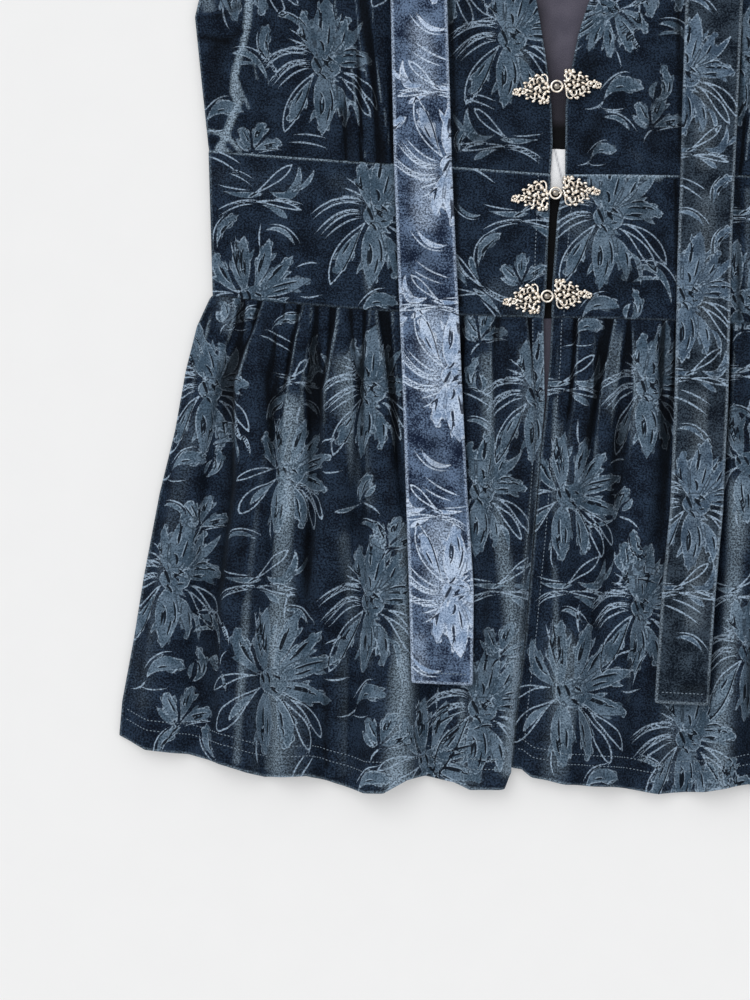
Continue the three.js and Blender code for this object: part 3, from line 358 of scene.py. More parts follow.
# Paths of painted sheen (above 0) and painted shade (below 0) on the pile: strength, half width, then x and
# down of each point of a path
SHADE_AND_SHEEN_PATHS: dict[str, Table] = {
    "peplum_front_right": (
        (0.65, 6, -143, 134, -141, 164, -142, 198, -144, 220, -142, 236, -145, 264, -146, 298, -144, 334),
        (0.36, 12, -141, 142, -140, 186),
        (0.32, 14, -140, 264, -141, 298, -138, 336),
        (0.65, 3.4, -155.9, 162, -158.9, 192.7, -160.9, 220.6, -161.8, 248.5, -162.2, 276.3, -163.1, 304.1,
            -162.9, 331.9),
        (0.58, 7, -113, 110, -111, 129, -107, 151, -101, 184),
        (0.58, 5, -108, 207, -104, 229, -101, 257, -96, 273),
        (0.72, 6, -77, 200, -74, 239, -74, 272, -74, 300, -76, 339),
        (0.4, 12, -68, 283, -66, 338),
        (0.29, 6, -106, 274, -102, 296, -100, 334),
        (0.36, 5, -181, 77, -179, 91),
        (0.25, 6, -178, 121, -177, 155),
        (0.22, 8, -211, 223, -218, 301),
        (0.25, 5, -194, 144, -202, 189, -208, 223),
        (-0.62, 5, -158, 87, -155, 154, -159, 182, -164, 210, -166, 238),
        (-0.56, 5.5, -133, 91, -131, 130, -134, 153, -134, 186, -130, 219, -125, 241, -129, 266),
        (-0.5, 5, -117, 146, -112, 174, -109, 190),
        (-0.56, 4, -119, 263, -115, 296, -113, 332),
        (-0.56, 4, -87, 89, -84, 139, -85, 172, -83, 217, -84, 262, -86, 289),
        (-0.5, 4, -111, 76, -111, 99),
        (-0.37, 8, -173, 132, -175, 199, -182, 266, -187, 300),
        (0.72, 4.2, -35, 103, -31, 137, -29, 170, -25, 192, -20, 214, -16, 236, -13, 264, -12, 292,
            -13, 330),
        (0.36, 7, -13, 100, -10, 133),
        (0.62, 3.2, -2.6, 90, -3.6, 120, -4.9, 158.7, -7.1, 196.9, -8.5, 249.5, -10.6, 290, -12.4, 332),
        (-0.62, 4.5, -28, 80, -24, 97, -22, 118),
        (-0.62, 4, -49, 79, -44, 148),
        (-0.56, 5.5, -17, 144, -15, 187),
        (-0.5, 5, -29, 231, -25, 286),
        (-0.56, 2.6, -8.2, 285.7, -8.8, 333),
        (0.43, 3, -40.1, 292.8, -37.5, 337.1),
        (0.25, 8, -33, 287, -33, 337),
        (-0.31, 6, -54, 293, -50, 335),
    ),
    "peplum_front_left": (
        (0.54, 8, 37, 92, 39, 122),
        (0.36, 8, 48, 105, 52, 138),
        (0.29, 5, 9, 140, 11, 168, 14, 196),
        (0.43, 8, 15, 257, 16, 290, 14, 329),
        (0.29, 12, 22, 262, 26, 301),
        (0.72, 6, 108, 169, 108, 208, 108, 236, 106, 258, 104, 292, 104, 333),
        (0.36, 9, 76, 293, 77, 326),
        (0.29, 4, 28, 145, 26, 178),
        (-0.62, 4, 30, 77, 28, 95, 23, 115, 22, 145),
        (-0.62, 4.6, 64, 79, 64, 121, 67, 154, 69, 199, 68, 254, 65, 288, 62, 327),
        (-0.43, 6, 37, 144, 40, 178),
        (-0.43, 5, 24, 229, 24, 256),
        (-0.37, 7, 41, 261, 40, 289),
        (-0.5, 5, 106, 80, 108, 141),
        (-0.37, 4, 6, 190, 9, 213),
        (0.36, 3, 53.7, 255, 52.5, 288.4),
        (0.5, 2.2, 4.7, 123.8, 6.8, 190.5, 12.6, 290.3),
        (-0.37, 5, 116, 208, 118, 285),
        (-0.43, 5, 29, 301, 39, 331),
        (0.6, 6, 148, 92, 156, 170, 160, 260, 160, 325),
        (0.5, 6, 178, 96, 194, 180, 205, 260, 208, 315),
        (0.35, 10, 134, 150, 136, 300),
        (-0.55, 5, 165, 90, 178, 180, 182, 310),
        (-0.5, 5, 125, 100, 122, 200, 148, 300),
    ),
    "bodice_front_right": (
        (1.25, 3.2, -176.1, -90.1, -176.6, -77.3, -179.2, -62.2, -182, -49.3, -182.1, -39.2, -179.5, -33.2,
            -182.5, -24.2, -185.8, -13.5, -189.4, -7.2),
        (0.6, 6, -201, -94, -199, -85),
        (1, 1.1, -178, -96, -176.6, -77.3, -179.6, -61, -181.5, -47),
        (0.95, 1.5, -181, -46, -177.5, -38, -173.7, -30.7),
        (0.8, 1.3, -178.3, -64, -173, -58, -169.6, -46.7),
        (1, 2.2, -194, -17, -185, -14.6, -177.6, -6.6),
        (0.9, 2.5, -189.2, -9.3, -180.2, -3.1),
        (-0.8, 2.6, -202.9, -79.4, -190.7, -81.7, -181, -87.7),
        (-0.9, 3, -200.7, -69, -188.4, -67.3, -179.7, -72.2),
        (-0.6, 4, -194, -64, -182, -65),
        (-0.6, 4.5, -194, -60, -193, -38),
        (-0.7, 3.2, -193, -11.5, -189.6, -10),
        (-0.5, 2, -188, -23.9, -189.4, -18.9),
        (-1.3, 3.4, -113.6, -109.8, -112.8, -93.1, -107.9, -64.4, -104.4, -42.9, -101.5, -28.6,
            -99.1, -13.7, -98.1, -4.8),
        (0.8, 1, -129.4, -97.9, -127.5, -85.2, -121.5, -64.9, -117, -52.3, -115, -38, -113.1, -27.5,
            -109.7, -14.8, -107.1, -6.1),
        (0.75, 1, -117.8, -98.4, -113.8, -74.7, -110.1, -57.1, -106.5, -42.8, -103.7, -27.9, -101.1, -6.4),
        (0.8, 1, -109.2, -98.9, -103.9, -64.6, -102.1, -48.6, -98.5, -31.5, -94.9, -13.9, -93.1, -4),
        (-0.9, 1.6, -122.8, -32.6, -118.7, -5.5),
        (-0.6, 2.6, -118.8, -30.6, -114.8, -5.7),
        (0.6, 0.9, -127.2, -43.5, -121.7, -20.4, -119.3, -5.5),
        (-0.7, 1.8, -96.6, -43.8, -91.5, -6.3),
        (-0.9, 2.2, -65.6, -106.5, -61.3, -62.2, -57, -6.8),
        (-0.5, 4, -54, -96, -56, -62),
        (0.12, 2, -7, -31.4, -5.4, -9.2),
        (-0.5, 6, -45, -18, -33, -16),
        (0.5, 8, -31, -86, -24, -64),
    ),
    "bodice_front_left": (
        (-0.6, 5, 15, -66, 12, -49),
        (0.35, 8, 30, -94, 28, -75),
        (-0.7, 5, 17, -16, 22, -33),
        (-0.8, 2.4, 61.7, -106.9, 64.6, -68.1, 67.8, -12.7),
        (0.12, 2, 5.2, -31.9, 6.3, -7),
        (-0.5, 6, 54, -51, 53, -23),
        (0.3, 6, 26, -30, 45, -12),
        (0.8, 1, 98.6, -103.1, 104.4, -14.4),
        (-0.8, 3, 96.9, -103, 102.2, -14.3),
        (0.6, 3.5, 102, -70, 105, -26),
    ),
    "waistband_front_right": (
        (0.12, 10, -185, 8, -143, 11),
        (0.2, 7, -122, 8, -104, 22),
        (-0.5, 7, -142, 42, -125, 38),
        (-0.7, 3, -90, 3.1, -84.5, 72.4),
        (-0.9, 2.4, -57.2, 1.6, -51, 73.6),
        (-0.5, 9, -38, 45, -20, 28),
        (0.4, 4, -105, 52, -102, 68),
        (-0.4, 8, -181, 30, -171, 65),
        (0.3, 8, -29, 64, -12, 74),
    ),
    "waistband_front_left": (
        (0.8, 2.6, 5.4, -3, 23.2, -2.8, 56.6, -2.1),
        (0.4, 8, 11, 26, 25, 37),
        (-0.6, 8, 37, 56, 59, 44),
        (-0.5, 7, 46, 11, 58, 32),
        (-0.8, 2.4, 65.6, -1.4, 70.1, 71.8),
        (-0.5, 6, 12, 62, 26, 67),
        (-0.8, 3, 100, -3, 104.7, 73.5),
        (0.4, 3, 105.8, 2.2, 108.9, 68.8),
    ),
    "tie_right": (
        (0.7, 7, -80, -78, -76, -45),
        (-0.5, 6, -74, -34, -72, -17),
        (0.8, 7, -74, 0, -73, 27),
        (-0.5, 7, -72, 44, -67, 66),
        (0.9, 8, -66, 83, -62, 121),
        (-0.5, 7, -61, 149, -58, 171),
        (0.85, 9, -56, 200, -52, 243),
        (-0.4, 6, -53, 266, -49, 280),
        (0.5, 5, -66, 261, -63, 277),
        (-0.45, 3, -81.6, 38.9, -75.9, 88.7),
        (-0.4, 3, -48.9, 143, -43.2, 192.8),
    ),
    "tie_left": (
        (0.5, 6, 76, -69, 81, -13),
        (0.45, 6, 83, 9, 85, 81),
        (0.5, 6, 86, 120, 85, 159),
        (0.55, 7, 86, 187, 86, 242),
        (-0.7, 5, 83, 281, 93, 280),
        (-0.5, 4, 69, -46, 71, -2),
        (-0.5, 4, 92, 86, 92, 136),
        (-0.4, 5, 76, 210, 76, 254),
        (-0.4, 3, 91.1, -2.6, 93.2, 41.8),
    ),
}
# Motifs of one repeat of the pattern, for what the photograph doesn't show
REPEAT = (107.0, 118.0)
REPEAT_PLACES: tuple[Place, ...] = (
    (Kind.FLOWER, 0, 0, 0, 1.35), (Kind.SPRIG, 48, 2, 0, 1.25), (Kind.PEONY, 55, 57, 0, 1.4),
    (Kind.COMMA, -3, 54, 0, 1.2), (Kind.FLAME, 17, 52, 0, 1.1), (Kind.LOTUS, 4, 84, 0, 1.2),
    (Kind.CRESCENT, 72, 21, 0, 1.1), (Kind.ANTLER, 26, 29, 0, 1.2), (Kind.LOTUS, 28, -24, 0, 1.1),
    (Kind.CRESCENT, -28, -28, 0, 1.1), (Kind.STROKES, 20, 70, 60, 1.1),
)


def read(table: Table, key: np.ndarray, column: int = 1) -> np.ndarray:
    """Read a table along straight lines.

    Args:
        table: Rows whose first value is the key.
        key: Where to read.
        column: Which column to read.

    Returns:
        The column's values there, level beyond the table's ends.
    """
    rows = np.array(sorted(table), dtype=float)
    return np.interp(key, rows[:, 0], rows[:, column])


def blend(start: np.ndarray, end: np.ndarray, share: np.ndarray) -> np.ndarray:
    """Straight line from start to end."""
    return start + (end - start) * share


def smooth(value: np.ndarray, low: float, high: float) -> np.ndarray:
    """Smooth step: 0 below low, 1 above high, 3t^2 - 2t^3 between them."""
    share = np.clip((value - low) / (high - low), 0, 1)
    return share * share * (3 - 2 * share)


def step(distance: np.ndarray, flank: np.ndarray) -> np.ndarray:
    """A fold's flank: half a sine wave from 0 to 1 over plus and minus the flank."""
    return 0.5 + 0.5 * np.sin(np.pi / 2 * np.clip(distance / flank, -1, 1))


def side_out(down: np.ndarray) -> np.ndarray:
    """Distance out of the side seam or armhole."""
    return read(SIDE, down)


def opening_out(hand: Hand, down: np.ndarray) -> np.ndarray:
    """Distance out of a front's opening edge."""
    return hand.value * read(OPENING, down, 1) + read(OPENING, down, 2) / 2


def loft(x: np.ndarray, down: np.ndarray) -> np.ndarray:
    """How far the fronts stand off the back: a parabola from the middle to the side seams."""
    return LOFT * np.clip(1 - (x / side_out(down)) ** 2, 0, None)


def seam_rise(distance: np.ndarray) -> np.ndarray:
    """Rise of a single layer to the middle of the thicker band: a bell curve from the seam."""
    return SEAM_RISE[0] * np.exp(-((distance / SEAM_RISE[1]) ** 2))


def back_folds(x: np.ndarray, share: np.ndarray) -> np.ndarray:
    """Height of the back peplum's folds: one cosine-squared hump each."""
    height = np.zeros_like(x)
    for waist, hem, half, waist_high, hem_high in BACK_FOLDS:
        away = np.clip(np.abs(x - blend(waist, hem, share)) / half, 0, 1)
        height += blend(waist_high, hem_high, share) * smooth(share, 0, 0.12) * np.cos(np.pi / 2 * away) ** 2
    return height


def bodice_top(out: np.ndarray) -> np.ndarray:
    """Down of the bodice's top edge: the back's neckline, then the shoulder seam."""
    neck = blend(BACK_NECK_DOWN, SHOULDER_NECK[1], (out / SHOULDER_NECK[0]) ** 2)
    share = (out - SHOULDER_NECK[0]) / (SHOULDER_TIP[0] - SHOULDER_NECK[0])
    return np.where(out < SHOULDER_NECK[0], neck, blend(SHOULDER_NECK[1], SHOULDER_TIP[1], share))


def unit(vectors: np.ndarray) -> np.ndarray:
    """Vectors of length one."""
    return vectors / np.maximum(np.linalg.norm(vectors, axis=-1, keepdims=True), 1e-9)


def make_object(
    name: str,
    points: np.ndarray,
    faces: list[np.ndarray],
    materials: list[bpy.types.Material],
    material_of: np.ndarray | None = None,
    values: dict[str, np.ndarray] | None = None,
) -> bpy.types.Object:
    """Make a piece from points in garment millimetres.

    Args:
        name: Name of the piece.
        points: (n, 3) points: x, up, height.
        faces: Arrays of corner numbers, one array for each number of corners.
        materials: Materials of the piece.
        material_of: Number of the material of each face.
        values: Values kept at the points, one number or three each.

    Returns:
        The object, at the origin, unturned.
    """
    placed = points * MM
    placed[:, 1] += WAIST_Y * MM
    mesh = bpy.data.meshes.new(name)
    mesh.from_pydata(placed.tolist(), [], [row for block in faces for row in block.tolist()])
    mesh.polygons.foreach_set("use_smooth", np.ones(len(mesh.polygons), dtype=bool))
    for material in materials:
        mesh.materials.append(material)
    if material_of is not None:
        mesh.polygons.foreach_set("material_index", material_of.astype(np.int32))
    for key, value in (values or {}).items():
        if value.ndim == 1:
            mesh.attributes.new(key, "FLOAT", "POINT").data.foreach_set("value", value.astype(np.float32))
        else:
            data = mesh.attributes.new(key, "FLOAT_VECTOR", "POINT").data
            data.foreach_set("vector", value.astype(np.float32).ravel())
    mesh.update()
    piece = bpy.data.objects.new(name, mesh)
    bpy.context.scene.collection.objects.link(piece)
    LOG.info("%s: %d faces", name, len(mesh.polygons))
    return piece


def volume(points: np.ndarray, faces: list[np.ndarray]) -> float:
    """Signed volume of a closed mesh: the sum of the tetrahedra from the origin to its triangles."""
    total = 0.0
    for block in faces:
        for corner in range(1, block.shape[1] - 1):
            a, b, c = points[block[:, 0]], points[block[:, corner]], points[block[:, corner + 1]]
            total += float(np.einsum("ij,ij->", a, np.cross(b, c))) / 6
    return total


@dataclass
class Sheet:
    """A closed sheet of cloth round a middle surface, with round rims.

    The fine face has a point for each point of the grid, and the other face one for every second.
    """

    middle: np.ndarray
    wall: float
    fine_up: bool = True
    cloth: np.ndarray = field(init=False)
    normal: np.ndarray = field(init=False)
    RIM_ANGLES = (50.0, 0.0, -50.0)

    def __post_init__(self) -> None:
        """Work out the normals and the cloth's own coordinates."""
        across = np.gradient(self.middle, axis=1)
        along = np.gradient(self.middle, axis=0)
        normal = unit(np.cross(across, along))
        self.normal = normal * np.sign(normal[..., 2].mean())
        travel = np.linalg.norm(np.diff(self.middle[..., [0, 2]], axis=1), axis=-1)
        run = np.concatenate([np.zeros((len(travel), 1)), np.cumsum(travel, axis=1)], axis=1)
        hand = np.sign(self.middle[0, -1, 0] - self.middle[0, 0, 0])
        self.cloth = np.stack([self.middle[..., :1, 0] + hand * run, self.middle[..., 1]], axis=-1)

    @property
    def top(self) -> np.ndarray:
        """Points of the upper face."""
        return self.middle + self.normal * self.wall / 2

    def border(self) -> tuple[np.ndarray, np.ndarray]:
        """Rows and columns of the border's points, once round."""
        rows, columns = self.middle.shape[:2]
        row = np.concatenate([
            np.zeros(columns - 1), np.arange(rows - 1), np.full(columns - 1, rows - 1),
            np.arange(rows - 1, 0, -1),
        ])
        column = np.concatenate([
            np.arange(columns - 1), np.full(rows - 1, columns - 1), np.arange(columns - 1, 0, -1),
            np.zeros(rows - 1),
        ])
        return row.astype(int), column.astype(int)

    def outward(self) -> tuple[np.ndarray, np.ndarray]:
        """Which way is outward at the border's points, over rows and over columns: -1, 0 or 1."""
        rows, columns = self.middle.shape[:2]
        row, column = self.border()
        return (row == rows - 1) * 1 - (row == 0), (column == columns - 1) * 1 - (column == 0)

    def spread(self, grid: np.ndarray) -> np.ndarray:
        """Values of a grid at all of the mesh's points: fine face, rims, coarse face."""
        row, column = self.border()
        rim = grid[row, column]
        flat = grid.reshape(-1, *grid.shape[2:])
        coarse = grid[::2, ::2].reshape(-1, *grid.shape[2:])
        return np.concatenate([flat, *([rim] * len(self.RIM_ANGLES)), coarse])

    def points(self) -> np.ndarray:
        """All points of the mesh. A rim is half a circle round the border of the middle surface."""
        side = self.wall / 2 * (1 if self.fine_up else -1)
        row, column = self.border()
        across = unit(np.gradient(self.middle, axis=1))
        along = unit(np.gradient(self.middle, axis=0))
        to_row, to_column = self.outward()
        outward = unit(along[row, column] * to_row[:, None] + across[row, column] * to_column[:, None])
        rims = []
        for angle in np.radians(self.RIM_ANGLES):
            turn = outward * math.cos(angle) * self.wall / 2
            rims.append(self.middle[row, column] + turn + self.normal[row, column] * math.sin(angle) * side)
        fine = self.middle + self.normal * side
        coarse = (self.middle - self.normal * side)[::2, ::2]
        return np.concatenate([fine.reshape(-1, 3), *rims, coarse.reshape(-1, 3)])

    def rim_travel(self) -> np.ndarray:
        """How far the cloth goes on round the rims, across and along, for all points of the mesh."""
        rows, columns = self.middle.shape[:2]
        to_row, to_column = self.outward()
        hand = np.sign(self.cloth[0, -1, 0] - self.cloth[0, 0, 0])
        rise = np.sign(self.cloth[-1, 0, 1] - self.cloth[0, 0, 1])
        outward = np.stack([to_column * hand, to_row * rise, 0.0 * to_row], -1)
        turns = [outward * math.radians(90 - angle) * self.wall / 2 for angle in self.RIM_ANGLES]
        coarse = self.middle[::2, ::2].shape[0] * self.middle[::2, ::2].shape[1]
        return np.concatenate([np.zeros((rows * columns, 3)), *turns, np.zeros((coarse, 3))])

    def faces(self) -> tuple[list[np.ndarray], np.ndarray]:
        """Faces of the mesh and the side that each is on: 0 for the fine face, 1 for the other."""
        rows, columns = self.middle.shape[:2]
        numbers = np.arange(rows * columns).reshape(rows, columns)
        fine = np.stack([numbers[:-1, :-1], numbers[:-1, 1:], numbers[1:, 1:], numbers[1:, :-1]], -1)
        row, column = self.border()
        loops = [numbers[row, column]]
        start = rows * columns
        for _ in self.RIM_ANGLES:
            loops.append(np.arange(start, start + len(row)))
            start += len(row)
        quads = [fine.reshape(-1, 4)]
        for inner, outer in zip(loops[:-1], loops[1:]):
            quads.append(np.stack([np.roll(inner, -1), inner, outer, np.roll(outer, -1)], -1))
        half_rows, half_columns = (rows + 1) // 2, (columns + 1) // 2
        coarse = np.arange(start, start + half_rows * half_columns).reshape(half_rows, half_columns)
        back = np.stack([coarse[1:, :-1], coarse[1:, 1:], coarse[:-1, 1:], coarse[:-1, :-1]], -1)
        inner = coarse[row[::2] // 2, column[::2] // 2]
        following = np.roll(inner, -1)
        rim = loops[-1]
        first, second, third = rim[::2], rim[1::2], np.roll(rim, -2)[::2]
        triangles = np.concatenate([
            np.stack([second, first, inner], -1), np.stack([inner, following, second], -1),
            np.stack([third, second, following], -1),
        ])
        outside = np.concatenate(quads)
        faces = [outside, back.reshape(-1, 4), triangles]
        if volume(self.points(), faces) < 0:
            faces = [block[:, ::-1] for block in faces]
        side = np.concatenate([np.zeros(len(outside)), np.ones(len(faces[1]) + len(triangles))])
        return faces, side

    def at(self, across: np.ndarray, along: np.ndarray) -> tuple[np.ndarray, np.ndarray]:
        """Points and normals of the upper face at shares across and along, in straight lines."""
        rows, columns = self.middle.shape[:2]
        i = np.clip(across, 0, 1) * (columns - 1)
        j = np.clip(along, 0, 1) * (rows - 1)
        i0, j0 = np.minimum(i.astype(int), columns - 2), np.minimum(j.astype(int), rows - 2)
        fi, fj = (i - i0)[:, None], (j - j0)[:, None]
        found = []
        for grid in (self.top, self.normal):
            upper = grid[j0, i0] * (1 - fi) + grid[j0, i0 + 1] * fi
            lower = grid[j0 + 1, i0] * (1 - fi) + grid[j0 + 1, i0 + 1] * fi
            found.append(upper * (1 - fj) + lower * fj)
        return found[0], unit(found[1])


def rim_sheen(sheet: Sheet, strengths: tuple[float, float, float, float]) -> np.ndarray:
    """Painted sheen along the edges of a piece.

    Args:
        sheet: The piece.
        strengths: Strength at the first row, the last row, the first column and the last column.

    Returns:
        The greatest of the four, each fading over a millimetre.
    """
    x, y = sheet.cloth[..., 0], sheet.cloth[..., 1]
    ways = (y - y[:1], y - y[-1:], x - x[:, :1], x - x[:, -1:])
    rims = [strength * (1 - smooth(np.abs(away), 0.1, 1.0)) for strength, away in zip(strengths, ways)]
    return np.max(rims, axis=0)


def drift(sheet: Sheet, across: float, along: float, seed: int) -> np.ndarray:
    """Soft unevenness from 0 to 1: random values on a wide lattice, blended along straight lines.

    Args:
        sheet: The piece.
        across: Width of the lattice, mm.
        along: Length of the lattice, mm.
        seed: Seed of the values.

    Returns:
        A value for each point of the sheet.
    """
    lattice = np.random.default_rng(seed).random((64, 64))
    i, j = np.abs(sheet.cloth[..., 0]) / across % 63, np.abs(sheet.cloth[..., 1]) / along % 63
    i0, j0 = i.astype(int), j.astype(int)
    left = blend(lattice[i0, j0], lattice[i0, j0 + 1], j - j0)
    right = blend(lattice[i0 + 1, j0], lattice[i0 + 1, j0 + 1], j - j0)
    return blend(left, right, i - i0)


def puckers(out: np.ndarray, past: np.ndarray, seed: int) -> np.ndarray:
    """Height of the small uneven gathers below a seam.

    Args:
        out: Distance out of each point.
        past: Distance past the seam.
        seed: Seed of the gathers.

    Returns:
        A cosine-squared hump for each gather, which widens and fades away from the seam.
    """
    rng = np.random.default_rng(seed)
    height = np.zeros_like(out)
    place = PUCKERS[0]
    while place < PUCKERS[1]:
        half, high, reach, lean = rng.uniform((2.0, 0.6, 16, -0.07), (3.6, 1.5, 52, 0.07))
        away = np.clip(np.abs(out - place - lean * past) / (half * (1 + past / 70)), 0, 1)
        height += high * np.cos(np.pi / 2 * away) ** 2 * (1 - smooth(past, 0.25 * reach, reach))
        place += rng.uniform(6.5, 12)
    return height


def shares(length: float, spacing: float) -> np.ndarray:
    """Even shares over a length, an even number of spaces, set in from the ends for the rims."""
    count = 2 * math.ceil(length / spacing / 2)
    inset = EDGE_INSET / length
    return np.linspace(inset, 1 - inset, count + 1)


@dataclass(frozen=True)
class Stroke:
    """One stroke of a motif, about a curve from start to end that is pulled aside."""

    use: Use
    curve: np.ndarray
    halves: np.ndarray

    @staticmethod
    def from_row(row: StrokeRow, samples: int = 13) -> "Stroke":
        """Make a stroke from its row.

        The middle line is a quadratic Bezier curve, and the half width is a sine bent so that it is
        largest at the row's share of the length.
        """
        use, x0, y0, x1, y1, x2, y2, half, *widest = row
        share = np.linspace(0, 1, samples)[:, None]
        curve = (1 - share) ** 2 * [x0, y0] + 2 * share * (1 - share) * [x1, y1] + share**2 * [x2, y2]
        bend = math.log(0.5) / math.log(widest[0] if widest else 0.5)
        power = {Use.LINE: 0.45, Use.LOOP: 0.8, Use.FILL: 0.95}[use]
        arch = np.sin(np.pi * share[:, 0] ** bend).clip(0) ** power
        return Stroke(use, curve, half * arch)

    def distance(self, points: np.ndarray) -> tuple[np.ndarray, np.ndarray, np.ndarray]:
        """Distances of points from the stroke.

        Args:
            points: (n, 2) points in the motif's own millimetres.

        Returns:
            Distance from the edge, negative inside; distance from the middle line with its side as
            the sign; and the half width at the nearest place.
        """
        edge = np.full(len(points), FAR_OFF)
        signed = np.full(len(points), FAR_OFF)
        near_half = np.zeros(len(points))
        for a, b, wa, wb in zip(self.curve[:-1], self.curve[1:], self.halves[:-1], self.halves[1:]):
            run = b - a
            offset = points - a
            share = np.clip(offset @ run / (run @ run), 0, 1)
            away = np.linalg.norm(offset - share[:, None] * run, axis=1)
            side = np.sign(run[0] * offset[:, 1] - run[1] * offset[:, 0])
            half = wa + (wb - wa) * share
            better = away < np.abs(signed)
            signed = np.where(better, np.where(side == 0, 1, side) * away, signed)
            near_half = np.where(better, half, near_half)
            edge = np.minimum(edge, away - half)
        return edge, signed, near_half


@dataclass
class Pattern:
    """The pressed pattern, worked out as distances at the points of a sheet."""

    LINE_HALF = 0.42
    MARGIN = 2.2
    FAR = 40.0
    strokes: dict[Kind, list[Stroke]] = field(default_factory=dict)
    reaches: dict[Kind, float] = field(default_factory=dict)
    petals: dict[Kind, int] = field(default_factory=dict)

    def __post_init__(self) -> None:
        """Make the strokes of all motifs, with barbs and slits on the broad ones."""
        for kind, rows in STROKES.items():
            self.strokes[kind] = [Stroke.from_row(row) for row in rows]
            self.petals[kind] = len(rows)
            for number, row in enumerate(rows):
                if row[0] is Use.FILL and row[7] > 2.2:
                    self.strokes[kind] += self.feather(row, number)
            self.reaches[kind] = max(float(np.linalg.norm(s.curve, axis=1).max()) for s in self.strokes[kind])

    @staticmethod
    def feather(row: StrokeRow, number: int) -> list[Stroke]:
        """Pointed lobes along a petal and one or two short slits in it, uneven by its number."""
        base = Stroke.from_row(row, 25)

        def ways(at: int, side: int) -> tuple[np.ndarray, np.ndarray]:
            """Along the petal at one of its points, and across it to a side."""
            along = unit(base.curve[at] - base.curve[at - 1])
            return along, np.array([-along[1], along[0]]) * side

        made = []
        for index, (share, side, length, aside) in enumerate(
            ((0.5, 1, 1.5, 0.95), (0.66, -1, 1.7, 1.0), (0.82, 1, 1.5, 0.6), (0.92, -1, 1.2, 0.3))
        ):
            at = int((share + 0.03 * ((number + index) % 3 - 1)) * 24)
            along, across = ways(at, side)
            half = max(base.halves[at], 1.4)
            root = base.curve[at] + across * half * 0.3 - along * half * 0.4
            tip = root + along * half * length + across * half * (aside + 0.15 * ((number + index) % 3))
            pull = root + along * half * 0.4 + across * half * 0.7
            made.append(Stroke.from_row((Use.FILL, *root, *pull, *tip, 1.15 + 0.1 * (index % 2), 0.35), 7))
        side = 1 if number % 2 else -1
        slits = ((8 + number % 4, 7, 0.45), (13 + number % 3, 6, -0.4))
        for first, length, offset in slits[:2 if row[7] > 3.4 else 1]:
            ends = []
            for at in (first, first + length // 2, first + length):
                ends.append(base.curve[at] + ways(at, side)[1] * base.halves[at] * offset)
            pull = 2 * ends[1] - (ends[0] + ends[2]) / 2
            made.append(Stroke.from_row((Use.LINE, *ends[0], *pull, *ends[2], 0.42, 0.5), 7))
        return made

    def lay(self, sheet: Sheet, places: tuple[Place, ...]) -> dict[str, np.ndarray]:
        """Lay motifs on a sheet.

        Args:
            sheet: The sheet.
            places: Kind, x, down, turn in degrees and scale of each motif.

        Returns:
            Grids: "pressed", the distance from the edge of the pressed shapes, negative inside;
            "line", the distance from the nearest line in half widths, with its side as the sign;
            "reach", the distance from that line in mm; "petal", the distance from the edge of the
            petal whose edge is nearest, negative inside it.
        """
        cloth = sheet.cloth.reshape(-1, 2)
        flat = sheet.middle[..., :2].reshape(-1, 2)
        pressed = np.full(len(cloth), self.FAR)
        line = np.full(len(cloth), self.FAR)
        reach = np.full(len(cloth), self.FAR)
        petal = np.full(len(cloth), self.FAR)
        for kind, x, down, turn, signed_scale in places:
            scale, mirror = abs(signed_scale), math.copysign(1, signed_scale)
            nearest = int(np.argmin(np.sum((flat - [x, -down]) ** 2, axis=1)))
            missed = np.array([x, -down]) - flat[nearest]
            offset = cloth - cloth[nearest] - missed
            chosen = np.nonzero(np.abs(offset).max(axis=1) < self.reaches[kind] * scale + self.MARGIN)[0]
            if len(chosen) == 0:
                continue
            angle = math.radians(turn)
            rotate = np.array([[math.cos(angle), -math.sin(angle)], [math.sin(angle), math.cos(angle)]])
            local = (offset[chosen] @ rotate) / scale * [mirror, 1]
            for number, stroke in enumerate(self.strokes[kind]):
                rim = stroke.halves.max() + self.MARGIN / scale
                low, high = stroke.curve.min(axis=0) - rim, stroke.curve.max(axis=0) + rim
                within = np.nonzero(((local > low) & (local < high)).all(axis=1))[0]
                if len(within) == 0:
                    continue
                edge, signed, half = stroke.distance(local[within])
                spots = chosen[within]
                if stroke.use is Use.FILL:
                    pressed[spots] = np.minimum(pressed[spots], edge * scale)
                    if number < self.petals[kind]:
                        nearer = np.abs(edge) * scale < np.abs(petal[spots])
                        petal[spots] = np.where(nearer, edge * scale, petal[spots])
                    continue
                ratio = edge * scale / self.LINE_HALF
                away = np.abs(edge) * scale
                if stroke.use is Use.LINE:
                    ratio = signed / np.maximum(half, 0.05)
                    away = np.abs(signed) * scale
                better = away < reach[spots]
                line[spots] = np.where(better, ratio, line[spots])
                reach[spots] = np.where(better, away, reach[spots])
        shape = sheet.middle.shape[:2]
        return {
            "pressed": pressed.reshape(shape), "line": np.clip(line, -9, 9).reshape(shape),
            "reach": reach.reshape(shape), "petal": petal.reshape(shape),
        }


def repeat_places(
    low: tuple[float, float], high: tuple[float, float], start: tuple[float, float] = (0.0, 0.0)
) -> tuple[Place, ...]:
    """Places of the repeat's motifs within a rectangle of x and down.

    Args:
        low: Least x and down.
        high: Greatest x and down.
        start: Where one of the repeats has its flower.

    Returns:
        The motifs' places.
    """
    places = []
    for column in range(-6, 7):
        for row in range(-6, 7):
            for kind, x, down, *how in REPEAT_PLACES:
                x_there = start[0] + x + column * REPEAT[0]
                down_there = start[1] + down + row * REPEAT[1]
                if low[0] <= x_there <= high[0] and low[1] <= down_there <= high[1]:
                    places.append((kind, x_there, down_there, *how))
    return tuple(places)


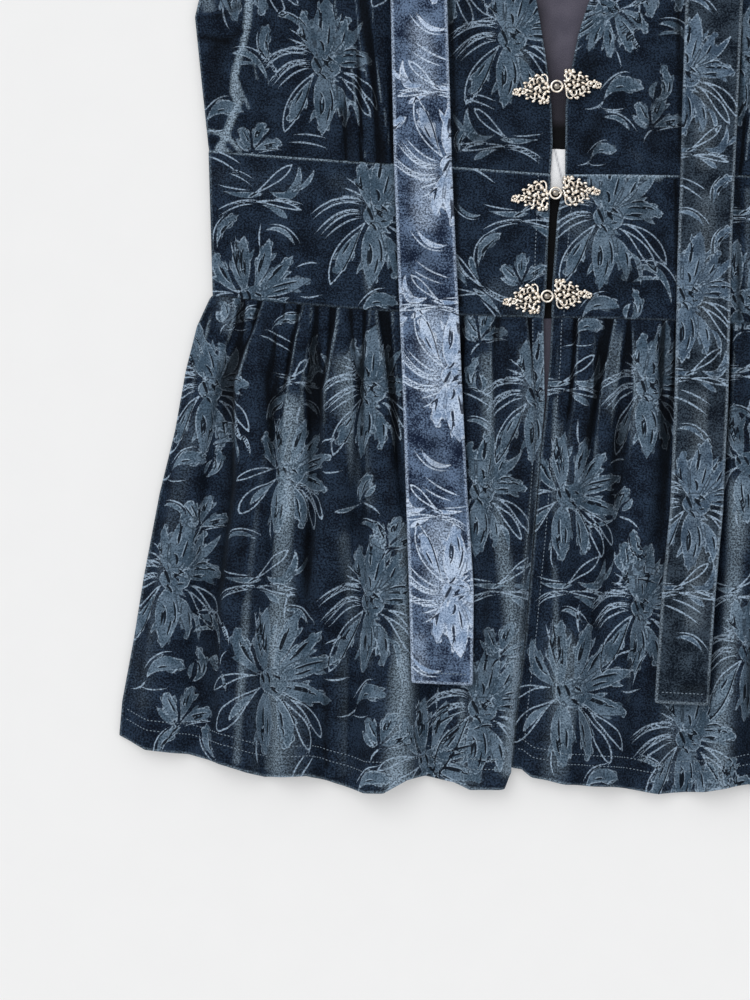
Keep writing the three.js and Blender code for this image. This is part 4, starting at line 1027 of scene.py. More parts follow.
def painted_paths(sheet: Sheet, rows: Table) -> np.ndarray:
    """Painted sheen and painted shade: each path's strength fades from its middle. A broad one is softer and
    weaker.
    """
    flat = sheet.middle[..., :2] * [1, -1]
    total = np.zeros(flat.shape[:2])
    for strength, half, *path in rows:
        away = np.full(total.shape, FAR_OFF)
        points = np.reshape(path, (-1, 2))
        for a, b in zip(points[:-1], points[1:]):
            run = b - a
            share = np.clip((flat - a) @ run / (run @ run), 0, 1)
            away = np.minimum(away, np.linalg.norm(flat - a - share[..., None] * run, axis=-1))
        broad = half > BROAD
        spread = 1.6 if broad else 1.2
        total += strength * (0.85 if broad else 1.0) * (1 - smooth(away, 0, spread * half))
        if broad and strength > 0:
            total += 0.22 * strength * (1 - smooth(away, 0, 3 * half))
    return total


def relief_light_and_shade(sheet: Sheet) -> np.ndarray:
    """Painted sheen on the shoulders of steep flanks and painted shade in narrow valleys.

    A valley is as narrow as the two steepest sight lines up its sides, to the left and the right. A
    shoulder is where the flank is steep and nearer to the top than to the bottom of its step. Both
    are strongest near the seam at the sheet's first row.
    """
    x, height = sheet.middle[..., 0], sheet.middle[..., 2]
    slope = np.abs(np.gradient(height, axis=1)) / np.maximum(np.abs(np.gradient(x, axis=1)), 0.2)
    columns = np.arange(x.shape[1])
    horizon = [np.zeros_like(x), np.zeros_like(x)]
    lowest, highest = height.copy(), height.copy()
    for side, sign in enumerate((-1, 1)):
        for steps in (2, 4, 6, 9):
            other = np.clip(columns + sign * steps, 0, len(columns) - 1)
            run = np.maximum(np.abs(x[:, other] - x), 0.5)
            horizon[side] = np.maximum(horizon[side], np.arctan((height[:, other] - height) / run))
            if steps < 6:
                lowest, highest = np.minimum(lowest, height[:, other]), np.maximum(highest, height[:, other])
    hidden = (horizon[0] + horizon[1]) / np.pi
    rank = (height - lowest) / np.maximum(highest - lowest, 0.6)
    shoulder = smooth(slope, 0.5, 1.1) * smooth(rank, 0.45, 0.8)
    crisp = 1 - smooth(np.abs(sheet.cloth[..., 1] - sheet.cloth[:1, :, 1]), 20, 95)
    uneven = (0.2 + 1.1 * drift(sheet, 7, 24, 5)) * (0.06 + 0.94 * crisp)
    return 0.95 * shoulder * uneven - (0.42 + 0.85 * crisp) * smooth(hidden, 0.2, 0.42) * (1 - shoulder)


class Value:
    """A number on a surface. Operators on it add Math nodes."""

    def __init__(self, graph: "Graph", socket: bpy.types.NodeSocket) -> None:
        """Wrap a socket of a graph."""
        self.graph = graph
        self.socket = socket

    def __add__(self, other: "Value | float") -> "Value":
        """Sum."""
        return self.graph.math("ADD", self, other)

    __radd__ = __add__

    def __sub__(self, other: "Value | float") -> "Value":
        """Difference."""
        return self.graph.math("SUBTRACT", self, other)

    def __rsub__(self, other: float) -> "Value":
        """Difference from a number."""
        return self.graph.math("SUBTRACT", other, self)

    def __mul__(self, other: "Value | float") -> "Value":
        """Product."""
        return self.graph.math("MULTIPLY", self, other)

    __rmul__ = __mul__

    def __abs__(self) -> "Value":
        """Size."""
        return self.graph.math("ABSOLUTE", self)


class Graph:
    """Nodes of one material."""

    def __init__(self, name: str) -> None:
        """Start a material with a Principled shader."""
        self.material = bpy.data.materials.new(name)
        self.material.use_nodes = True
        self.tree = self.material.node_tree
        self.shader = self.tree.nodes["Principled BSDF"]

    def node(self, kind: str, settings: dict | None = None, inputs: dict | None = None) -> bpy.types.Node:
        """Add a node.

        Args:
            kind: Type of the node.
            settings: Its settings, which are made first.
            inputs: Values or links of its sockets, by name or number.

        Returns:
            The node.
        """
        node = self.tree.nodes.new(kind)
        for key, value in (settings or {}).items():
            setattr(node, key, value)
        for key, value in (inputs or {}).items():
            socket = node.inputs[key]
            if isinstance(value, Value):
                value = value.socket
            if isinstance(value, bpy.types.NodeSocket):
                self.tree.links.new(value, socket)
            else:
                socket.default_value = value
        return node

    def math(self, operation: str, *values: "Value | float") -> Value:
        """A Math node."""
        node = self.node("ShaderNodeMath", {"operation": operation}, dict(enumerate(values)))
        return Value(self, node.outputs[0])

    def attribute(self, name: str, output: str = "Fac") -> Value:
        """A value kept at the piece's points."""
        return Value(self, self.node("ShaderNodeAttribute", {"attribute_name": name}).outputs[output])

    def noise(self, place: Value, scale: float, detail: float = 2.0, roughness: float = 0.5) -> Value:
        """Noise from 0 to 1 about 0.5."""
        inputs = {"Vector": place, "Scale": scale, "Detail": detail, "Roughness": roughness}
        return Value(self, self.node("ShaderNodeTexNoise", {}, inputs).outputs["Fac"])

    def ease(self, value: Value, low: float, high: float) -> Value:
        """Smooth step from 0 at low to 1 at high."""
        settings = {"interpolation_type": "SMOOTHSTEP", "clamp": True}
        inputs = {"Value": value, "From Min": low, "From Max": high}
        return Value(self, self.node("ShaderNodeMapRange", settings, inputs).outputs["Result"])

    def mix(self, share: Value, start: "tuple | Value", end: "tuple | Value") -> Value:
        """Mix two colours."""
        node = self.node("ShaderNodeMix", {"data_type": "RGBA", "clamp_factor": True})
        for key, value in (("Factor", share), ("A", start), ("B", end)):
            kind = "VALUE" if key == "Factor" else "RGBA"
            socket = next(s for s in node.inputs if s.name == key and s.type == kind)
            if isinstance(value, Value):
                self.tree.links.new(value.socket, socket)
            else:
                socket.default_value = value
        return Value(self, next(s for s in node.outputs if s.type == "RGBA"))

    def bump(self, height: Value, distance: float, strength: float = 1.0) -> Value:
        """Normal of a relief whose height is given as a share of the distance, in metres."""
        inputs = {"Height": height, "Distance": distance, "Strength": strength}
        return Value(self, self.node("ShaderNodeBump", {}, inputs).outputs["Normal"])

    def finish(self, links: dict[str, Value], numbers: dict[str, object]) -> bpy.types.Material:
        """Connect the shader: values that vary, and numbers or colours that don't."""
        for key, value in links.items():
            self.tree.links.new(value.socket, self.shader.inputs[key])
        for key, value in numbers.items():
            self.shader.inputs[key].default_value = value
        return self.material


def colour(red: float, green: float, blue: float) -> tuple[float, float, float, float]:
    """Linear colour from sRGB values of 0 to 255."""
    values = np.array([red, green, blue]) / 255
    linear = np.where(values > 0.04045, ((values + 0.055) / 1.055) ** 2.4, values / 12.92)
    return (*[float(v) for v in linear], 1.0)


@dataclass(frozen=True)
class VelourFinish:
    """Velour with a standing pile and a pattern that is pressed flat into it."""

    name: str
    pile: tuple = colour(7, 15, 27)
    pile_light: tuple = colour(44, 60, 80)
    # Colour of the painted sheen.
    painted_light: tuple = colour(136, 155, 170)
    pressed: tuple = colour(62, 81, 98)
    pressed_light: tuple = colour(98, 117, 135)
    # Colour of the painted highlights on rims, petals and crests.
    rim: tuple = colour(158, 178, 197)
    line: tuple = colour(154, 174, 194)
    # Colour of the slits and the grain, and of the painted shade beside petal edges.
    slit_and_shade: tuple = colour(6, 12, 21)
    # Colour of the painted shade.
    shade_tone: tuple = colour(2, 4, 8)
    mottle: float = 0.75
    patchy: float = 0.34
    speckle: float = 0.6
    # Strength of the painted highlight on crests.
    crest_highlight: float = 0.6
    sheen: float = 0.1

    def material(self) -> bpy.types.Material:
        """Pile, pressed shapes with painted highlights on their rims, light lines on the pile and dark ones
        in the shapes, under painted sheen and painted shade.
        """
        g = Graph(self.name)
        cloth = g.attribute("cloth", "Vector")
        grain = g.noise(cloth, 1.3, 2.0, 0.6)
        specks = g.noise(cloth, 0.9, 1.0, 0.5)
        patches = g.noise(cloth, 0.075, 3.0, 0.55)
        here = g.ease(g.noise(cloth, 0.13, 1.0), 0.42, 0.56)
        inside = 1 - g.ease(g.attribute("pressed"), -0.15, 0.15)
        edge = 1 - g.ease(abs(g.attribute("pressed") + 0.1), 0.08, 0.4)
        line, reach = g.attribute("line"), g.attribute("reach")
        beside = (1 - g.ease(abs(line - 1.9), 0.4, 0.9)) * (1 - g.ease(reach, 0.8, 1.3))
        stroke = (1 - g.ease(abs(line), 0.5, 1.3)) * (1 - g.ease(reach, 0.8, 1.15))
        # The attribute read here holds painted sheen above 0 and painted shade below 0; light and dark are
        # their shares.
        sheen_shade = g.attribute("sheen_shade")
        light = g.ease(sheen_shade, 0.0, 1.0)
        dark = g.ease(sheen_shade * -1.0, 0.0, 1.0)
        # Painted sheen, speckled by the grain.
        lit = g.ease(grain * 0.55 + specks * 0.45, 0.42, 0.62) * light
        fine = (1 - self.patchy) / 2
        mottled = g.ease(patches * self.patchy + grain * fine + specks * fine, 0.42, 0.6)
        ground = g.mix(mottled * self.mottle, self.pile, self.pile_light)
        # Painted sheen on the pile.
        ground = g.mix(lit * 0.6 + light * 0.26, ground, self.painted_light)
        wear_sheen_and_shade = g.ease(patches * 0.7 + grain * 0.2 + specks * 0.2, 0.46, 0.66)
        shape = g.mix(wear_sheen_and_shade, self.pressed, self.pressed_light)
        # Painted sheen on the pressed shapes.
        shape = g.mix(lit * 0.5 + light * 0.1, shape, self.painted_light)
        own = g.attribute("petal")
        # Painted shade just outside each petal's edge, and a painted highlight just inside it.
        petal_shade = (1 - g.ease(abs(own - 0.4), 0.2, 0.5)) * g.ease(patches * 0.6 + grain * 0.4, 0.4, 0.56)
        shape = g.mix(petal_shade * 0.65, shape, self.slit_and_shade)
        petal_highlight = (1 - g.ease(abs(own + 0.3), 0.15, 0.45)) * g.ease(specks, 0.38, 0.58)
        shape = g.mix(petal_highlight * (0.05 + 0.45 * here), shape, self.rim)
        # Painted highlight beside each line.
        shape = g.mix(beside * 0.75, shape, self.rim)
        tone = g.mix(inside, ground, shape)
        # Painted highlight round the edges of the pressed shapes.
        tone = g.mix(edge * (0.12 + 0.7 * here) * (0.3 + 0.7 * g.ease(specks, 0.36, 0.56)), tone, self.rim)
        tone = g.mix(stroke * (1 - inside) * (0.55 + 0.45 * g.ease(specks, 0.36, 0.56)), tone, self.line)
        tone = g.mix(stroke * inside * 0.95, tone, self.slit_and_shade)
        tone = g.mix((1 - g.ease(grain * 0.6 + specks * 0.4, 0.37, 0.54)) * self.speckle, tone, self.slit_and_shade)
        # Painted highlight where the painted sheen is strongest.
        crest_highlight = g.ease(sheen_shade, 0.84, 1.02) * (0.15 + 0.85 * g.ease(grain * 0.5 + specks * 0.5, 0.42, 0.6))
        tone = g.mix(crest_highlight * self.crest_highlight, tone, self.rim)
        # Painted shade where the pile's attribute is below 0.
        tone = g.mix(dark * 0.88, tone, self.shade_tone)
        relief = (1 - inside) * (0.75 + 0.35 * grain) - 0.4 * stroke
        normal = g.bump(relief, 0.0004, 0.8)
        return g.finish(
            {"Base Color": tone, "Normal": normal},
            {
                "Roughness": 0.85, "Specular IOR Level": 0.08, "Sheen Weight": self.sheen,
                "Sheen Roughness": 0.35, "Sheen Tint": (0.62, 0.75, 0.9, 1.0),
            },
        )


@dataclass(frozen=True)
class InsideFinish:
    """The smooth back of the velour, dark where the piece has a black facing and where painted shade lies on
    it.
    """

    name: str
    knit: tuple = colour(74, 72, 84)
    knit_light: tuple = colour(88, 85, 97)
    facing_and_shade: tuple = colour(10, 11, 14)

    def material(self) -> bpy.types.Material:
        """Fine knit under soft patches."""
        g = Graph(self.name)
        cloth = g.attribute("cloth", "Vector")
        patches = g.noise(cloth, 0.05, 2.0)
        grain = g.noise(cloth, 1.6, 2.0)
        tone = g.mix(g.ease(patches * 0.6 + grain * 0.4, 0.4, 0.62), self.knit, self.knit_light)
        # Dark for the black facing and for painted shade.
        tone = g.mix(g.attribute("facing_and_shade"), tone, self.facing_and_shade)
        return g.finish(
            {"Base Color": tone, "Normal": g.bump(grain, 0.0003, 0.5)},
            {"Roughness": 0.9, "Specular IOR Level": 0.15, "Sheen Weight": 0.1},
        )


@dataclass(frozen=True)
class MetalFinish:
    """Pale polished metal, painted dark low on each bead and wire: painted shade and reflection, and
    blackening in its hollows.
    """

    name: str = "clasp_metal_cast"
    bright: tuple = colour(255, 250, 241)
    warm: tuple = colour(236, 221, 203)
    shade_tone: tuple = colour(10, 9, 8)

    def material(self) -> bpy.types.Material:
        """Metal that is painted bright on top of each bead and wire and dark low on it, as shade and
        reflection, with soft warm patches.
        """
        g = Graph(self.name)
        place = Value(g, g.node("ShaderNodeTexCoord").outputs["Object"])
        patches = g.noise(place, 900.0, 2.0)
        tone = g.mix(g.ease(patches, 0.44, 0.6), self.bright, self.warm)
        # Painted shade and reflection: dark where the shade attribute is low.
        tone = g.mix(g.ease(g.attribute("shade"), 0.04, 0.5), self.shade_tone, tone)
        return g.finish(
            {"Base Color": tone, "Roughness": 0.18 + 0.15 * patches, "Normal": g.bump(patches, 0.0001, 0.4)},
            {"Metallic": 1.0},
        )


@dataclass(frozen=True)
class PlainFinish:
    """A plain finish with a fine grain, painted shade along a crease where it has one, and a glow of its own.
    """

    name: str
    tone: tuple
    light: tuple
    roughness: float = 0.6
    grain: float = 600.0
    crease_shade: tuple | None = None
    glow: float = 0.0

    def material(self) -> bpy.types.Material:
        """Fine grain, even over the whole piece."""
        g = Graph(self.name)
        place = Value(g, g.node("ShaderNodeTexCoord").outputs["Object"])
        grain = g.noise(place, self.grain, 3.0)
        tone = g.mix(grain, self.tone, self.light)
        # Painted shade along the crease.
        if self.crease_shade:
            tone = g.mix(g.attribute("facing_and_shade"), tone, self.crease_shade)
        return g.finish(
            {"Base Color": tone, "Normal": g.bump(grain, 0.0001, 0.3)},
            {
                "Roughness": self.roughness, "Specular IOR Level": 0.3,
                "Emission Color": (0.995, 1.0, 1.0, 1.0), "Emission Strength": self.glow,
            },
        )


@dataclass
class Wardrobe:
    """All finishes, made once."""

    velour: bpy.types.Material = field(init=False)
    tie_sheen_bright: bpy.types.Material = field(init=False)
    tie_sheen_grey: bpy.types.Material = field(init=False)
    inside: bpy.types.Material = field(init=False)
    metal: bpy.types.Material = field(init=False)
    thread: bpy.types.Material = field(init=False)
    satin: bpy.types.Material = field(init=False)

    def __post_init__(self) -> None:
        """Make the materials."""
        self.velour = VelourFinish("velour_dressed").material()
        # The ties are copies of the velour with painted sheen, since their pile lies the other way: brighter
        # on the wearer's right tie, greyer on the left one.
        self.tie_sheen_bright = VelourFinish(
            "velour_bright_tie", pile=colour(16, 27, 48), pile_light=colour(100, 120, 148),
            painted_light=colour(176, 194, 218), pressed=colour(126, 149, 180), pressed_light=colour(192, 209, 232),
            rim=colour(212, 225, 242), line=colour(198, 214, 234), slit_and_shade=colour(14, 24, 42),
            shade_tone=colour(14, 22, 36), mottle=1.0, patchy=0.44, speckle=0.5, crest_highlight=0.2,
        ).material()
        self.tie_sheen_grey = VelourFinish(
            "velour_grey_tie", pile=colour(8, 17, 28), pile_light=colour(60, 73, 86),
            painted_light=colour(120, 134, 146), pressed=colour(58, 76, 95), pressed_light=colour(98, 118, 138),
            mottle=0.9, patchy=0.42, speckle=0.55,
        ).material()
        self.inside = InsideFinish("velour_back").material()
        self.metal = MetalFinish().material()
        self.thread = PlainFinish("thread", colour(96, 112, 128), colour(140, 155, 168), 0.7).material()
        # The label's crease colour is painted shade along its fold.
        self.satin = PlainFinish(
            "label_satin", colour(230, 232, 235), colour(244, 245, 247), 0.45, crease_shade=colour(120, 124, 132),
        ).material()


@dataclass
class Cloth:
    """What all cloth pieces share: dressing a sheet."""

    wardrobe: Wardrobe
    pattern: Pattern
    hand: Hand = Hand.RIGHT

    def dress(
        self,
        name: str,
        sheet: Sheet,
        flat: tuple[float, float],
        held: str,
        rests_on: list[str],
        outside: bpy.types.Material | None = None,
        places: tuple[Place, ...] = (),
        sheen_shade: np.ndarray | None = None,
        facing_and_shade: np.ndarray | None = None,
        slot: str = "velour",
        area: float | None = None,
        inside: bpy.types.Material | None = None,
    ) -> bpy.types.Object:
        """Make a cloth piece that stands for its CAD node.

        Args:
            name: Name of the CAD node.
            sheet: Its form.
            flat: Width and length of the cut, in mm.
            held: How the cloth is held. Not used.
            rests_on: Nodes that it rests on. Not used.
            outside: Material of the fine face.
            places: Motifs on it.
            sheen_shade: Painted sheen and painted shade of the pile, from -1, painted shade, to 1, painted
                sheen.
            facing_and_shade: Where the other face is dark, 0 to 1: a black facing, and painted shade where a
                piece has it, as beside the gap and along the label's fold.
            slot: Not used.
            area: Area of the cut in square mm, where it isn't a rectangle.
            inside: Material of the other face.

        Returns:
            The piece.
        """
        shape = sheet.middle.shape[:2]
        grids = self.pattern.lay(sheet, places)
        grids["sheen_shade"] = np.zeros(shape) if sheen_shade is None else sheen_shade
        grids["facing_and_shade"] = np.zeros(shape) if facing_and_shade is None else facing_and_shade
        grids["cloth"] = np.concatenate([sheet.cloth, np.zeros((*shape, 1))], axis=-1)
        values = {key: sheet.spread(grid) for key, grid in grids.items()}
        values["cloth"] = values["cloth"] + sheet.rim_travel()
        faces, side = sheet.faces()
        materials = [outside or self.wardrobe.velour, inside or self.wardrobe.inside]
        piece = make_object(f"{name}_cloth", sheet.points(), faces, materials, side, values)
        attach(piece, "root")
        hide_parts(name)
        cut = None if area is None else area * MM * MM
        flat[0] * MM
        flat[1] * MM
        return piece


@dataclass
class Back(Cloth):
    """The three back pieces, which lie on the table. Their fine face is underneath."""

    spacing: float = 2.6

    def bodice(self) -> bpy.types.Object:
        """Bodice: a flat sheet from the waist seam to the shoulders.

        Its inside has a black facing above the label, painted shade that fades out above the facing, and a
        soft painted shadow beside the gap's edge.
        """
        s, t = np.meshgrid(shares(400, self.spacing), shares(260, self.spacing))
        share = 2 * s - 1
        seam = read(BAND_SEAMS, share * side_out(0)) - GAP / 2
        down = blend(seam, bodice_top(np.abs(share) * SHOULDER_TIP[0]), t)
        x = share * side_out(down)
        middle = np.stack([x, -down, np.full_like(x, VELOUR / 2)], -1)
        sheet = Sheet(middle, VELOUR, fine_up=False)
        edge = read(OPENING, down) - read(OPENING, down, 2) / 2
        # The black facing, and painted shade that fades out above it.
        facing_and_shade = np.maximum(1 - smooth(-down, 29.0, 30.0), 0.72 * (1 - smooth(-down, 38, 56)))
        # Painted shadow beside the gap's edge.
        facing_and_shade = np.maximum(facing_and_shade, 0.5 * (1 - smooth(x - edge, 0, 11)) * smooth(x - edge, -8, -2))
        places = repeat_places((-210, -280), (210, 0))
        return self.dress(
            "bodice_back", sheet, (412, 272), "laid", [], None, places, facing_and_shade=facing_and_shade, slot="velour_inside",
        )

    def waistband(self) -> bpy.types.Object:
        """Waistband: a flat sheet between its two seams."""
        s, t = np.meshgrid(shares(380, self.spacing), shares(80, self.spacing))
        share = 2 * s - 1
        top = read(BAND_SEAMS, share * side_out(0), 1) + GAP / 2
        low = read(BAND_SEAMS, share * side_out(BAND_HIGH), 2) - GAP / 2
        down = blend(top, low, t)
        x = share * side_out(down)
        middle = np.stack([x, -down, np.full_like(x, BAND / 2)], -1)
        places = repeat_places((-200, 0), (200, 80))
        return self.dress(
            "waistband_back", Sheet(middle, BAND, fine_up=False), (386, 82), "laid", [], None, places,
            facing_and_shade=np.ones_like(x), slot="velour_inside",
        )

    def peplum(self) -> bpy.types.Object:
        """Peplum: a sheet that lies flat between low folds. Its waved hem rises behind the opening."""
        s, t = np.meshgrid(shares(440, 2.0), shares(255, self.spacing))
        share = 2 * s - 1
        seam = read(BAND_SEAMS, share * side_out(BAND_HIGH), 2) + GAP / 2
        x = share * side_out(blend(seam, HEM_SIDE, t))
        hem = blend(*BACK_HEM, (x / SIDE[0][1]) ** 2) + BACK_WAVES[0] * np.cos(x / BACK_WAVES[1] * np.pi)
        lift, lift_x, reach = BACK_LIFT
        hem -= lift * np.exp(-(((x - lift_x) / reach) ** 2))
        middle = np.stack([x, -blend(seam, hem, t), VELOUR / 2 + back_folds(x, t)], -1)
        places = repeat_places((-230, 74), (230, 340))
        return self.dress(
            "peplum_back", Sheet(middle, VELOUR, fine_up=False), (560, 256), "gathered", [], None, places,
        )


@dataclass
class Label(Cloth):
    """The small satin label inside the back waist, folded over along a slant."""

    WIDE, HIGH, MIDDLE = 16.0, 24.0, 1.0

    def build(self) -> bpy.types.Object:
        """Build and dress the label: one layer, raised a little past the slanting fold."""
        s, t = np.meshgrid(shares(self.WIDE, 0.9), shares(self.HIGH, 0.9))
        slant = (s - 0.42) * self.WIDE - (t - 0.3) * 7
        height = BAND + GAP + LABEL_WALL / 2 + 0.3 * smooth(slant, -0.4, 0.4)
        x = self.MIDDLE + (s - 0.5) * self.WIDE
        sheet = Sheet(np.stack([x, -(LABEL_TOP + t * self.HIGH), height], -1), LABEL_WALL)
        satin = self.wardrobe.satin
        # Painted shade along the slanting fold.
        return self.dress(
            "label", sheet, (16, 24), "laid", ["bodice_back_cloth", "waistband_back_cloth"], satin,
            slot="label", inside=satin, facing_and_shade=0.8 * np.exp(-((slant / 0.5) ** 2)),
        )


@dataclass
class Stitching:
    """Rows of small round stitches, half sunk into the cloth."""

    wardrobe: Wardrobe
    places: list[np.ndarray] = field(default_factory=list)
    runs: list[np.ndarray] = field(default_factory=list)
    normals: list[np.ndarray] = field(default_factory=list)
    LONG = 1.3
    PITCH = 2.1
    RADIUS = 0.27
    SIDES = 5

    def row(self, sheet: Sheet, start: tuple[float, float], end: tuple[float, float]) -> None:
        """Add a row of stitches.

        Args:
            sheet: The sheet under it.
            start: Shares across and along where the row starts.
            end: Shares where it ends.
        """
        share = np.linspace(0, 1, 500)
        path, _ = sheet.at(blend(start[0], end[0], share), blend(start[1], end[1], share))
        travel = np.concatenate([[0], np.cumsum(np.linalg.norm(np.diff(path, axis=0), axis=1))])
        count = int(travel[-1] / self.PITCH)
        middle = (np.arange(count) + 0.5) / count * travel[-1]
        ends = []
        for offset in (-self.LONG / 2, 0, self.LONG / 2):
            there = np.interp(middle + offset, travel, share)
            ends.append(sheet.at(blend(start[0], end[0], there), blend(start[1], end[1], there)))
        self.places.append(ends[1][0])
        self.runs.append(unit(ends[2][0] - ends[0][0]))
        self.normals.append(ends[1][1])

    def build(self, name: str) -> bpy.types.Object:
        """Make all stitches as one piece. Each is a short five-sided rod with pointed ends."""
        place, run = np.concatenate(self.places), np.concatenate(self.runs)
        normal = np.concatenate(self.normals)
        aside = unit(np.cross(normal, run))
        normal = np.cross(run, aside)
        rings = []
        for along, radius in ((-0.5, 0.0), (-0.32, 1.0), (0.32, 1.0), (0.5, 0.0)):
            angles = np.arange(self.SIDES if radius else 1) / self.SIDES * 2 * np.pi
            turned = aside[:, None] * np.cos(angles)[:, None] + normal[:, None] * np.sin(angles)[:, None]
            centre = place + run * along * self.LONG
            rings.append(centre[:, None] + turned * radius * self.RADIUS)
        points = np.concatenate(rings, axis=1)
        number = np.arange(self.SIDES)
        following = (number + 1) % self.SIDES
        quads = np.stack([1 + number, 1 + following, 6 + following, 6 + number], -1)
        fans = np.concatenate([
            np.stack([np.zeros_like(number), 1 + following, 1 + number], -1),
            np.stack([np.full_like(number, 11), 6 + number, 6 + following], -1),
        ])
        first = np.arange(len(place))[:, None, None] * points.shape[1]
        faces = [(first + quads).reshape(-1, 4), (first + fans).reshape(-1, 3)]
        points = points.reshape(-1, 3)
        if volume(points, faces) < 0:
            faces = [block[:, ::-1] for block in faces]
        piece = make_object(name, points, faces, [self.wardrobe.thread])
        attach(piece, "root")
        return piece


@dataclass
class Casting:
    """Small closed forms that are merged into one cast piece, in its own millimetres."""

    points: list[np.ndarray] = field(default_factory=list)
    shade: list[np.ndarray] = field(default_factory=list)
    faces: dict[int, list[np.ndarray]] = field(default_factory=lambda: {3: [], 4: []})
    count: int = 0

    def add(self, points: np.ndarray, faces: list[np.ndarray], shade: np.ndarray) -> None:
        """Add a closed form, turned so that its faces point outwards."""
        if volume(points, faces) < 0:
            faces = [block[:, ::-1] for block in faces]
        for block in faces:
            self.faces[block.shape[1]].append(block + self.count)
        self.points.append(points)
        self.shade.append(shade)
        self.count += len(points)

    def pod(
        self,
        spine: np.ndarray,
        radii: np.ndarray,
        sides: int = 6,
        flat: float = 1.0,
        shade: float | None = None,
    ) -> None:
        """Add rings round a spine, closed to a point at both ends.

        Args:
            spine: (n, 3) points.
            radii: Radii of the rings at the points between the ends.
            sides: Points of a ring.
            flat: A ring's height as a share of its width.
            shade: Shade of all points, otherwise that of the ring's height, from -1 to 1.
        """
        run = unit(np.gradient(spine, axis=0))[1:-1, None]
        aside = unit(np.cross([0.0, 0.0, 1.0], run))
        rise = np.cross(run, aside)
        angles = (np.arange(sides) / sides * 2 * np.pi)[:, None]
        turned = aside * np.cos(angles) + rise * np.sin(angles) * flat
        rings = spine[1:-1, None] + turned * radii[:, None, None]
        count = len(radii)
        number = 1 + np.arange(count * sides).reshape(count, sides)
        following = np.roll(number, -1, axis=1)
        quads = np.stack([number[:-1], following[:-1], following[1:], number[1:]], -1).reshape(-1, 4)
        last = np.full(sides, count * sides + 1)
        fans = np.concatenate([
            np.stack([np.zeros(sides, int), following[0], number[0]], -1),
            np.stack([last, number[-1], following[-1]], -1),
        ])
        points = np.concatenate([spine[:1], rings.reshape(-1, 3), spine[-1:]])
        # Painted shade: each ring is lighter at its top and darker low down.
        heights = np.concatenate([[0.4], np.tile(np.sin(angles[:, 0]), count), [0.4]])
        self.add(points, [quads, fans], heights if shade is None else np.full(len(points), shade))

    def ball(self, along: float, across: float, height: float, radius: float) -> None:
        """Add a ball."""
        angles = np.radians((180, 135, 90, 45, 0))
        spine = np.array([along, across, height]) + np.cos(angles)[:, None] * [radius, 0, 0]
        self.pod(spine, radius * np.sin(angles[1:-1]))

    def wire(self, corners: tuple[tuple[float, float], ...], height: float, radius: float) -> None:
        """Add a round wire through corners of along and across, with a ball at its end."""
        corners = np.array(corners)
        key = np.arange(len(corners))
        fine = np.linspace(0, len(corners) - 1, 3 * len(corners))
        flat = np.stack([np.interp(fine, key, corners[:, 0]), np.interp(fine, key, corners[:, 1])], -1)
        flat[1:-1] = (flat[:-2] + 2 * flat[1:-1] + flat[2:]) / 4
        spine = np.concatenate([flat, np.full((len(flat), 1), height)], axis=1)
        self.pod(spine, radius * np.linspace(1.15, 0.8, len(spine) - 2))
        self.ball(*corners[-1], height, radius * 1.6)

    def scroll(self, row: tuple[float, float, float, float, float], height: float) -> None:
        """Add a scroll: a wire on an arc that tightens towards its end.

        Args:
            row: Along, across, radius, start and sweep in degrees.
            height: Height of its middle line.
        """
        along, across, radius, start, sweep = row
        share = np.linspace(0, 1, 9)
        angle = np.radians(start + sweep * share)
        reach = radius * (1 - 0.45 * share)
        turned = (along + reach * np.cos(angle), across + reach * np.sin(angle), height + 0 * share)
        self.pod(np.stack(turned, -1), np.full(7, 0.42))

    def hoop(self, radius: float, thick: float, height: float, sides: int = 8, steps: int = 20) -> None:
        """Add a ring round the middle."""
        turn, roll = np.meshgrid(
            np.arange(steps) / steps * 2 * np.pi, np.arange(sides) / sides * 2 * np.pi, indexing="ij"
        )
        reach = radius + thick * np.cos(roll)
        points = np.stack([reach * np.cos(turn), reach * np.sin(turn), height + thick * np.sin(roll)], -1)
        number = np.arange(steps * sides).reshape(steps, sides)
        quads = np.stack([
            number, np.roll(number, -1, 0), np.roll(np.roll(number, -1, 0), -1, 1), np.roll(number, -1, 1),
        ], -1)
        # Painted shade: the ring is lighter on top and darker low down.
        self.add(points.reshape(-1, 3), [quads.reshape(-1, 4)], np.sin(roll).ravel() + 0.25)


